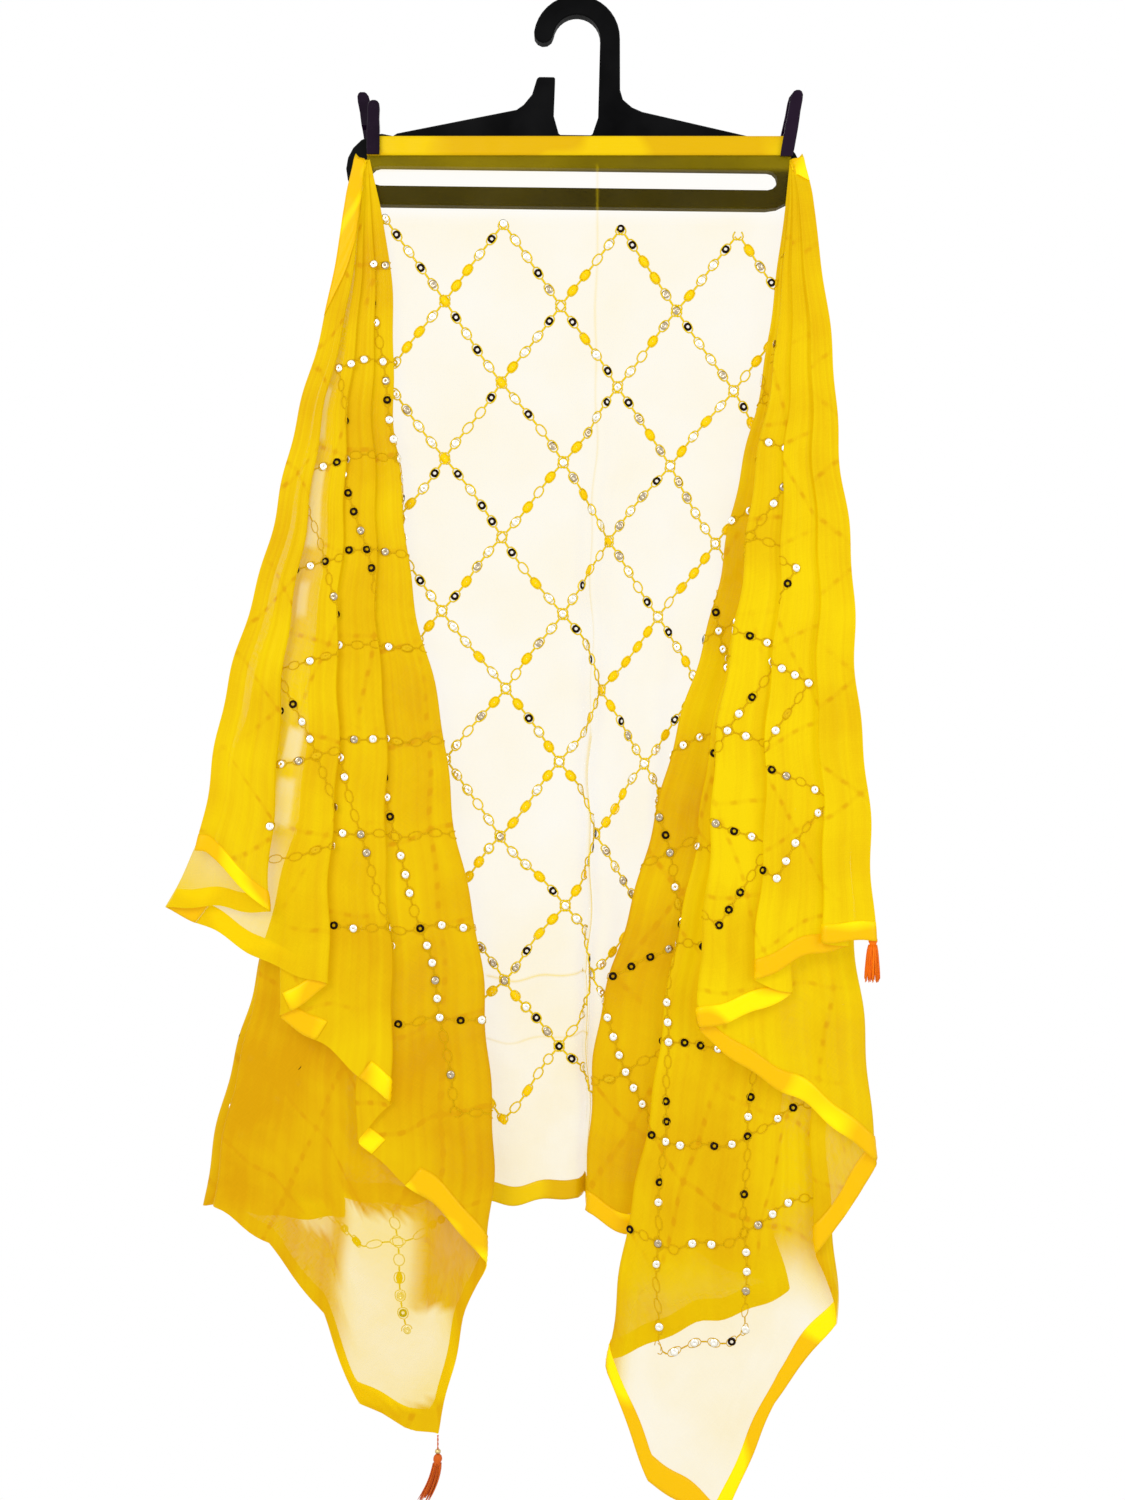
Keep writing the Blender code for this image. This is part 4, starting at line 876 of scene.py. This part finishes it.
def build_ribbon(name, u, v, skin, under=False):
    """Satin ribbon over a grid of flat places; it puckers a little between its two rows of stitches."""
    points, normals = cloth_frame(u, v)
    along = np.cumsum(np.hypot(np.gradient(u[:, 0]), np.gradient(v[:, 0])))[:, None]
    across = np.linspace(-1.0, 1.0, u.shape[1])[None, :]
    belly = RIBBON_PUCKER * (1.0 - across**4) * (1.0 + 0.5 * np.sin(along * 260.0) * np.sin(along * 37.0))
    lift = -RIBBON_LIFT - RIBBON_WALL - belly if under else RIBBON_LIFT + belly
    start = sum(ord(letter) for letter in name) % 17       # so that no two ribbons have their painted highlight alike
    flat = np.stack([np.broadcast_to(start + along, u.shape), across * RIBBON_WIDTH / 2 + 0 * along], -1)
    both, faces = wall(points + normals * lift[..., None], normals, RIBBON_WALL)
    side, edge = name.split("_")[:2]        # each border stands for the ribbon solid of its side and edge
    return add_mesh(name, both, faces, skin, [f"{side}_{edge}_ribbon"],
                    {"flat": np.concatenate([flat.reshape(-1, 2)] * 2)})


def ribbon_steps(low, high):
    return np.linspace(low, high, max(2, int(abs(high - low) / RIBBON_STEP) + 1))


def build_top_border(wing, skin):
    """The border from a peg outward: on the cloth's face at first, then turned under it."""
    shown = TOP_SHOWN[wing.name]
    outer = CLOTH_LENGTH / 2 - RIBBON_WIDTH - abs(wing.peg_u)
    share = np.linspace(0.0, 1.0, 41)[:, None]
    end = shown * (1.0 - 0.45 * RIBBON_INSET / RIBBON_WIDTH)[None, :]
    u = wing.peg_u + wing.side * (FALL_START + (end - FALL_START) * share)
    v = np.broadcast_to(RIBBON_INSET[None, :], u.shape)
    front = build_ribbon(f"{wing.name}_grip_border", u, v, skin)
    places = wing.peg_u + wing.side * ribbon_steps(0.50 * shown, outer)
    u, v = np.meshgrid(places, RIBBON_INSET, indexing="ij")
    return [front, build_ribbon(f"{wing.name}_top_border", u, v, skin, under=True)]


def build_ribbons():
    """The borders: along the top in three stretches, along the hem in three, and down both ends."""
    # the second colour of each satin is its painted highlight
    skin = satin("satin_ribbon", (0.70, 0.40, 0.0), (0.88, 0.66, 0.0))
    taut = satin("satin_taut", (0.56, 0.33, 0.0), (0.64, 0.43, 0.0))
    end = CLOTH_LENGTH / 2
    top, lower = ("top", RIBBON_INSET), ("lower", CLOTH_WIDTH - RIBBON_INSET)
    made = {"middle": [], "left": [], "right": []}
    for side, low, high, satins, edges in (("left", -end + RIBBON_WIDTH, LEFT.peg_u, skin, (lower,)),
                                           ("middle", LEFT.peg_u, RIGHT.peg_u, taut, (top, lower)),
                                           ("right", RIGHT.peg_u, end - RIBBON_WIDTH, skin, (lower,))):
        for edge, places in edges:
            u, v = np.meshgrid(ribbon_steps(low, high), places, indexing="ij")
            made[side].append(build_ribbon(f"{side}_{edge}_border", u, v, satins))
    for wing in (LEFT, RIGHT):
        made[wing.name] += build_top_border(wing, skin)
    for wing in (LEFT, RIGHT):
        for number, run in enumerate(END_RUNS[wing.name], 1):
            steps = ribbon_steps(run.top, run.bottom)
            v, u = np.meshgrid(steps, wing.side * (end - RIBBON_INSET), indexing="ij")
            made[wing.name].append(build_ribbon(f"{wing.name}_end_border_{number}", u, v, skin, run.under))
    return made


# ---------------------------------------------------------------- embroidery
# A diamond's side: from, to, and whether it leans like a slash. An eye: its middle, and its side's lean
# and the way it runs.
Side = namedtuple("Side", "u0 v0 u1 v1 slash")
Eye = namedtuple("Eye", "u v slash du dv")


def drawn_down(u, v):
    """Height v of the even trellis, as the cloth is drawn out and down between the pegs."""
    tall = TRELLIS_BANDS * TRELLIS_TALL / 2
    share = (v - TRELLIS_V) / tall
    slope = TRELLIS_SLOPE * (min(max(u, LEFT.peg_u), RIGHT.peg_u) - LEFT.peg_u)
    return v + tall * TRELLIS_CROWDING * share * (1.0 - share) + slope * (1.0 - share)


def trellis_sides():
    """Each side of each diamond."""
    sides = []
    for band in range(TRELLIS_BANDS):
        v0 = TRELLIS_V + band * TRELLIS_TALL / 2
        v1 = v0 + TRELLIS_TALL / 2
        for k in range(-TRELLIS_HALF, TRELLIS_HALF + 1):
            u0 = TRELLIS_U + (k + 0.5 * (band % 2)) * TRELLIS_WIDE
            for way in (-1, 1):
                u1 = u0 + way * TRELLIS_WIDE / 2
                if max(abs(u0), abs(u1)) < TRELLIS_END:
                    sides.append(Side(u0, drawn_down(u0, v0), u1, drawn_down(u1, v1), way < 0))
    return sides


def region_of(u):
    return "left" if u < LEFT.peg_u else "right" if u > RIGHT.peg_u else "middle"


def build_threads(sides, region, skin, radius):
    """Two threads along every side, apart round each sequin and twisted together between them."""
    u0, v0, u1, v1 = np.array([side[:4] for side in sides]).T[..., None]
    du, dv = u1 - u0, v1 - v0
    length = np.hypot(du, dv)
    share = np.append([(k + step) / EYES for k in range(EYES) for step in EYE_STEPS], 1.0)
    from_eye = np.abs(share * EYES - np.round(share * EYES))
    round_eye = np.sqrt(np.clip(1.0 - (2 * from_eye / EYE_SHARE) ** 2, 0.0, 1.0))
    apart = LINK_HALF + (EYE_HALF - LINK_HALF) * round_eye
    u = np.concatenate([u0 + du * share - way * apart * (dv / length) for way in (-1, 1)])
    v = np.concatenate([v0 + dv * share + way * apart * (du / length) for way in (-1, 1)])
    points, normals = cloth_frame(u, v)
    return tubes(f"{region}_trellis", points + normals * THREAD_LIFT, normals, radius, 3, skin)


def eye_places(sides):
    """Every eye, once each."""
    eyes = {}
    for u0, v0, u1, v1, slash in sides:
        for share in np.arange(EYES + 1) / EYES:
            u, v = u0 + (u1 - u0) * share, v0 + (v1 - v0) * share
            eyes.setdefault((round(u, 4), round(v, 4)), Eye(u, v, slash, u1 - u0, v1 - v0))
    return list(eyes.values())


def discs(name, eyes, radius_rows, sides, skin, layers=None, tilt=None):
    """Small turned solids set on eyes: radius_rows gives each ring's two radii and height."""
    u, v, du, dv = np.array([(eye.u, eye.v, eye.du, eye.dv) for eye in eyes]).T
    length = np.hypot(du, dv)
    points, normals = cloth_frame(u, v)
    ahead, _ = cloth_frame(u + du / length * 0.002, v + dv / length * 0.002)
    if tilt is not None:
        normals = unit(normals + tilt)
    across = unit(np.cross(normals, unit(ahead - points)))
    tangent = np.cross(across, normals)
    turn = round_angles(sides)[None, :, None]
    rings = []
    for along_radius, across_radius, height in radius_rows:
        spoke = (np.cos(turn) * tangent[:, None, :] * along_radius
                 + np.sin(turn) * across[:, None, :] * across_radius)
        rings.append(points[:, None, :] + spoke + normals[:, None, :] * height)
    rings = np.stack(rings, axis=1)                                     # (eyes, rows, sides, 3)
    faces = ring_faces(len(eyes), len(radius_rows), sides, hollow=True)
    values = {key: np.repeat(value, len(radius_rows) * sides) for key, value in (layers or {}).items()}
    return add_mesh(name, rings, faces, skin, (), None, values)


def build_sequins(eyes, region, skin, dice):
    """Round sequins, cupped, with a stitched hole; bright, grey and dark ones mixed."""
    draw = dice.random(len(eyes))
    kind = np.where(draw < BRIGHT_SHARE, BRIGHT, np.where(draw < BRIGHT_SHARE + GREY_SHARE, GREY, DARK))
    rim = SEQUIN_RADIUS * dice.uniform(0.92, 1.04, 1)[0]
    cup = 0.62 * rim
    hole = np.where(kind == DARK, DARK_HOLE, BRIGHT_HOLE)[:, None, None]
    rows = [(radius, radius, height) for radius, height in (
        (rim, 0.0011), (cup, 0.0015), (hole, 0.0017), (hole, 0.0014), (cup, 0.0012), (rim, 0.0009))]
    tilt = dice.uniform(-SEQUIN_TILT, SEQUIN_TILT, (len(eyes), 3))
    return discs(f"{region}_sequins", eyes, rows, SEQUIN_SIDES, skin, {"kind": kind}, tilt)


def build_embroidery():
    """Trellis, eyes filled with stitched dots that paint the eyes' shadows, and sequins, in three regions of
    the cloth.
    """
    shiny = foil()
    # each thread's last number is the strength of its painted glow, in its own colour
    outline = stitch_thread("embroidery_thread", (0.62, 0.42, 0.0), (0.84, 0.62, 0.005), 0.25)
    shadow_filling = stitch_thread("embroidery_filling", (0.74, 0.46, 0.0), (0.88, 0.60, 0.0), 0.20)
    gathered = stitch_thread("embroidery_gathered", (0.50, 0.29, 0.0), (0.62, 0.40, 0.0), 0.35)
    dice = np.random.default_rng(7)
    every_side = trellis_sides()
    every_eye = eye_places(every_side)
    made = {}
    for region, kinds in EYE_KINDS.items():
        sides = [side for side in every_side if region_of((side.u0 + side.u1) / 2) == region]
        painted_shadow_dots, sequins = [], []
        for eye in every_eye:
            if region_of(eye.u) != region:
                continue
            draw = dice.random()
            if draw < (kinds.slash if eye.slash else kinds.other):
                painted_shadow_dots.append(eye)
            elif draw < 1.0 - kinds.empty:
                sequins.append(eye)
        thread, radius, shadow_stitches = gathered, WING_THREAD, gathered
        if region == "middle":
            thread, radius, shadow_stitches = outline, PANEL_THREAD, shadow_filling
        made[region] = [
            build_threads(sides, region, thread, radius),
            # dots on eyes: painted shadows that the eyes cast along their lines
            discs(f"{region}_dots", painted_shadow_dots, SHADOW_DOT_RINGS, SHADOW_DOT_SIDES, shadow_stitches),
            build_sequins(sequins, region, shiny, dice),
        ]
    return made


# ---------------------------------------------------------------- tassels
TASSEL_STRANDS = 56
STRAND_LENGTH = 0.034
STRAND_POINTS = 7
STRAND_RADIUS = 0.00042
STRAND_TURN = 2.399963      # radians from strand to strand round the skirt, the golden angle
SKIRT_TOP = 0.0038          # radius of the skirt where its strands leave the head
# drop below the neck and radius of each ring of the head
HEAD_PROFILE = ((0.0000, 0.0010), (0.0008, 0.0024), (0.0022, 0.0036), (0.0042, 0.0041), (0.0060, 0.0040),
                (0.0074, 0.0033), (0.0082, 0.0030), (0.0090, 0.0032), (0.0098, 0.0040))
HEAD_SIDES = 18
HEAD_END = HEAD_PROFILE[-1][0]
THREAD_POINTS = 15
THREAD_APART = 0.00038      # from the thread's axis to the middle of each ply
THREAD_TURN = 14.0          # radians of twist from end to end
# radius and height of each ring of the bead, from its top to its middle
BEAD_HALF = ((0.0011, 0.0019), (0.0016, 0.0020), (0.0019, 0.0018), (0.0020, 0.0014), (0.0025, 0.0011),
             (0.0027, 0.0005))
BEAD_PROFILE = BEAD_HALF + tuple((radius, -height) for radius, height in reversed(BEAD_HALF))
BEAD_SIDES = 20
BEAD_RISE = 0.0018          # from the top of the head to the middle of the bead
TOWARD_EYE = (0.0, -1.0, 0.0)
# corner: of the cloth, lower or top; neck: its thread's length; lean: how far its foot drifts in x; flat:
# depth to width; skirt: radius of its strands' feet; tucked: how far up the edge from the corner it is
# sewn; across, ahead, up: from there to its top, in x, y and z.
Tassel = namedtuple("Tassel", "wing corner neck lean flat skirt tucked across ahead up")
TASSELS = table(
    Tassel,
    (LEFT, "lower", 0.0170, -0.014, 1.00, 0.0052, 0.000, 0.000, 0.0000, -0.0009),
    (RIGHT, "lower", 0.0170, 0.006, 1.00, 0.0052, 0.000, 0.000, 0.0000, -0.0009),
    (LEFT, "top", 0.0060, 0.000, 0.28, 0.0052, 0.042, 0.018, 0.0018, 0.0000),
    (RIGHT, "top", 0.0030, 0.000, 0.55, 0.0068, 0.000, -0.003, 0.0033, 0.0080),
)


def tassel_points(top, tassel, radius, angle, drop):
    """Points of a tassel at radius and angle from its axis, drop below its top."""
    total = tassel.neck + HEAD_END + STRAND_LENGTH
    drift = tassel.lean * (np.maximum(drop - tassel.neck, 0.0) / (total - tassel.neck)) ** 2
    x = top[0] + drift + radius * np.cos(angle)
    y = top[1] + tassel.flat * radius * np.sin(angle)
    return np.stack(np.broadcast_arrays(x, y, top[2] - drop), axis=-1)


def build_tassel(name, node, top, tassel, skin, dice):
    """A wrapped head, a skirt of loose strands, and the twisted thread by which they hang."""
    def draw(low, high):
        return dice.uniform(low, high, (TASSEL_STRANDS, 1))

    turn = round_angles(HEAD_SIDES)
    drop, radius = np.array(HEAD_PROFILE).T[..., None]
    radius = radius * (1.0 + 0.05 * np.sin(9.0 * turn))
    rings = tassel_points(top, tassel, radius, turn, tassel.neck + drop)
    head = add_mesh(name, rings, ring_faces(1, len(HEAD_PROFILE), HEAD_SIDES), skin, [node],
                    layers={"shade": np.full(radius.shape, 0.5)})

    steps = np.linspace(0.0, 1.0, STRAND_POINTS)
    start = draw(0.2, 1.0) ** 0.5
    length = STRAND_LENGTH * draw(0.86, 1.0)
    foot = start * draw(0.85, 1.25)
    spread = SKIRT_TOP * start + (tassel.skirt * foot - SKIRT_TOP * start) * steps**0.6
    angle = np.arange(TASSEL_STRANDS)[:, None] * STRAND_TURN + draw(-0.25, 0.25) * steps
    drop = tassel.neck + HEAD_END - 0.0012 + length * steps
    radius = np.full(spread.shape, STRAND_RADIUS * tassel.skirt / TASSELS[0].skirt)
    radius[:, -1] *= 0.6
    strands = tubes(f"{name}_strands", tassel_points(top, tassel, spread, angle, drop), TOWARD_EYE, radius, 4,
                    skin, layers={"shade": draw(0.0, 1.0)})

    steps = np.linspace(0.0, 1.0, THREAD_POINTS)
    plies = tassel_points(top, tassel._replace(flat=1.0, lean=0.0), THREAD_APART,
                          np.array([[0.0], [math.pi]]) + steps * THREAD_TURN, steps * (tassel.neck + 0.001))
    thread = tubes(f"{name}_thread", plies, TOWARD_EYE, 0.00040, 5, skin,
                   layers={"shade": np.array([0.4, 0.7])})
    return [head, strands, thread]


def build_bead(name, node, top, neck, skin):
    """Brass bead on a tassel's thread: a turned barrel with a step at each end."""
    turn = round_angles(BEAD_SIDES)
    radius, height = np.array(BEAD_PROFILE).T[..., None]
    x, y = top[0] + radius * np.cos(turn), top[1] + radius * np.sin(turn)
    rings = np.stack(np.broadcast_arrays(x, y, top[2] - neck + BEAD_RISE + SEAM + height), axis=-1)
    faces = ring_faces(1, len(BEAD_PROFILE), BEAD_SIDES, hollow=True)
    return add_mesh(name, rings, faces, skin, [node])


def corner_place(tassel):
    """Where a corner's tassel is sewn; the left top one is tucked up behind the cloth."""
    wing = tassel.wing
    if tassel.corner == "lower":
        angle = corner_angle(wing)
        limit = wing_limit(wing, angle)
    else:
        limit = CLOTH_LENGTH / 2 - abs(wing.peg_u)
        angle = math.pi / 2 + math.asin(PIVOT_DROP / limit)
    return sway(fan_points(wing, angle, limit - tassel.tucked))


def build_tassels():
    """One tassel at each corner of the cloth, where its solid hangs."""
    bright = floss("tassel_orange", (0.80, 0.10, 0.001), (1.00, 0.26, 0.002))
    deep = floss("tassel_red_orange", (0.42, 0.045, 0.004), (0.85, 0.17, 0.010))
    brass = metal("bead_brass", 700.0, 3.0, (0.42, 0.27, 0.08), (0.86, 0.68, 0.33), 0.18, 0.36)
    dice = np.random.default_rng(21)
    made = {"left": [], "right": []}
    for tassel in TASSELS:
        x, y, z = corner_place(tassel)
        top = (x + tassel.across, y + tassel.ahead, z + tassel.up)
        side, name = tassel.wing.name, f"{tassel.wing.name}_{tassel.corner}"
        skin = deep if tassel.corner == "lower" else bright
        made[side] += build_tassel(f"{name}_tassel_head", f"{name}_tassel", top, tassel, skin, dice)
        if tassel.corner == "lower":
            made[side].append(build_bead(f"{name}_brass_bead", f"{name}_bead", top, tassel.neck, brass))
    return made


# ---------------------------------------------------------------- hanger and pegs
SPRING_TURNS = 4
SPRING_WIRE = 0.0005


def build_spring(side, skin):
    """Wound wire of a peg, in its solid's place, its axis across the peg."""
    low, high = (np.array(corner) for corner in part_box(f"{side}_peg_spring"))
    middle, size = (low + high) / 2, high - low
    radius = size[2] / 2 - SPRING_WIRE
    steps = np.linspace(0.0, 1.0, SPRING_TURNS * 16 + 1)
    turn = steps * SPRING_TURNS * 2 * math.pi
    x = middle[0] + (steps - 0.5) * (size[0] - 2 * SPRING_WIRE)
    line = np.stack([x, middle[1] + radius * np.cos(turn), middle[2] + radius * np.sin(turn)], -1)
    return tubes(f"{side}_spring_coil", line[None], (1.0, 0.0, 0.0), SPRING_WIRE, 8, skin,
                 [f"{side}_peg_spring"])


def paint(node, skin):
    """Give a CAD node that keeps its shape its finish."""
    for slot in bpy.data.objects[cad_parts[node].name].material_slots:
        slot.material = skin


def dress_hard_parts():
    black = moulded_plastic("hanger_plastic", (0.0008, 0.0008, 0.0010), 0.03, 0.36, 0.50, 900.0)
    purple = moulded_plastic("peg_plastic", (0.0060, 0.0006, 0.0080), 0.10, 0.08, 0.18, 500.0)
    paint("hanger", black)
    steel = metal("spring_steel", 1600.0, 2.0, (0.42, 0.42, 0.44), (0.70, 0.70, 0.72), 0.22, 0.40)
    for side in ("left", "right"):
        for arm in ("front", "rear"):
            paint(f"{side}_peg_{arm}_arm", purple)
        build_spring(side, steel)


# ---------------------------------------------------------------- camera, light and floor
PIXEL = 0.00094             # metres to a pixel of the photograph, in the hanger's plane
PHOTO_WIDE, PHOTO_TALL = 1125, 1500
HOOK_PIXEL = (577, 17)      # where the frame's origin lies in it
CAMERA_AWAY = 1.6
FLOOR_Z = -1.62
FLOOR_BACK = 0.40


def add_camera():
    data = bpy.data.cameras.new("camera")
    data.sensor_fit = "HORIZONTAL"
    data.angle = 2 * math.atan(PHOTO_WIDE * PIXEL / 2 / CAMERA_AWAY)
    made = link("camera", data)
    made.location = ((PHOTO_WIDE / 2 - HOOK_PIXEL[0]) * PIXEL, -CAMERA_AWAY,
                     -(PHOTO_TALL / 2 - HOOK_PIXEL[1]) * PIXEL)
    made.rotation_euler = (math.pi / 2, 0.0, 0.0)
    bpy.context.scene.camera = made


def add_light(name, place, aim, size, power):
    data = bpy.data.lights.new(name, "AREA")
    data.shape = "RECTANGLE"
    data.size, data.size_y = size
    data.energy = power
    made = link(name, data)
    made.location = place
    way = np.array(place) - np.array(aim)
    made.rotation_euler = (math.atan2(math.hypot(way[0], way[1]), way[2]), 0.0, math.atan2(way[0], -way[1]))


def add_world():
    """White studio: seen white by the eye and by shiny things, and a softer light on the rest."""
    world = bpy.data.worlds.new("studio")
    bpy.context.scene.world = world
    world.use_nodes = True
    made = Nodes(world.node_tree, "Background")
    made.surface.inputs["Color"].default_value = (1.0, 1.0, 1.0, 1.0)
    ray = made.node("ShaderNodeLightPath").outputs
    seen = made.math("MAXIMUM", ray["Is Camera Ray"], ray["Is Glossy Ray"])
    made.join("Strength", made.range(seen, 0.0, 1.0, 0.72, 1.0))


def add_floor():
    mesh = bpy.data.meshes.new("floor")
    corners = [(-3, -4, FLOOR_Z), (3, -4, FLOOR_Z), (3, FLOOR_BACK, FLOOR_Z), (-3, FLOOR_BACK, FLOOR_Z)]
    mesh.from_pydata(corners, [], [(0, 1, 2, 3)])
    pale = Shader("floor_pale", Roughness=0.6)
    grain = pale.noise(pale.place(), 3.0, 4.0)
    pale.colour(pale.blend(grain, (0.84, 0.84, 0.84), (0.90, 0.90, 0.90)))
    mesh.materials.append(pale.material)
    link("floor", mesh)


def main():
    add_camera()
    add_world()
    add_light("key", (-1.3, -2.2, 0.6), (0.0, 0.0, -0.6), (1.4, 1.4), 28.0)
    add_light("fill", (1.6, -1.8, -0.2), (0.0, 0.0, -0.8), (1.2, 1.6), 12.0)
    add_floor()

    cloth_skin = organza()
    ribbons = build_ribbons()
    embroidery = build_embroidery()
    tassels = build_tassels()
    build_panel_cloth(cloth_skin)
    for wing in (LEFT, RIGHT):
        build_wing_cloth(wing, cloth_skin)
    dress_hard_parts()
    bpy.context.scene.view_settings.view_transform = "Standard"
    bpy.context.scene.cycles.transparent_max_bounces = 32


main()
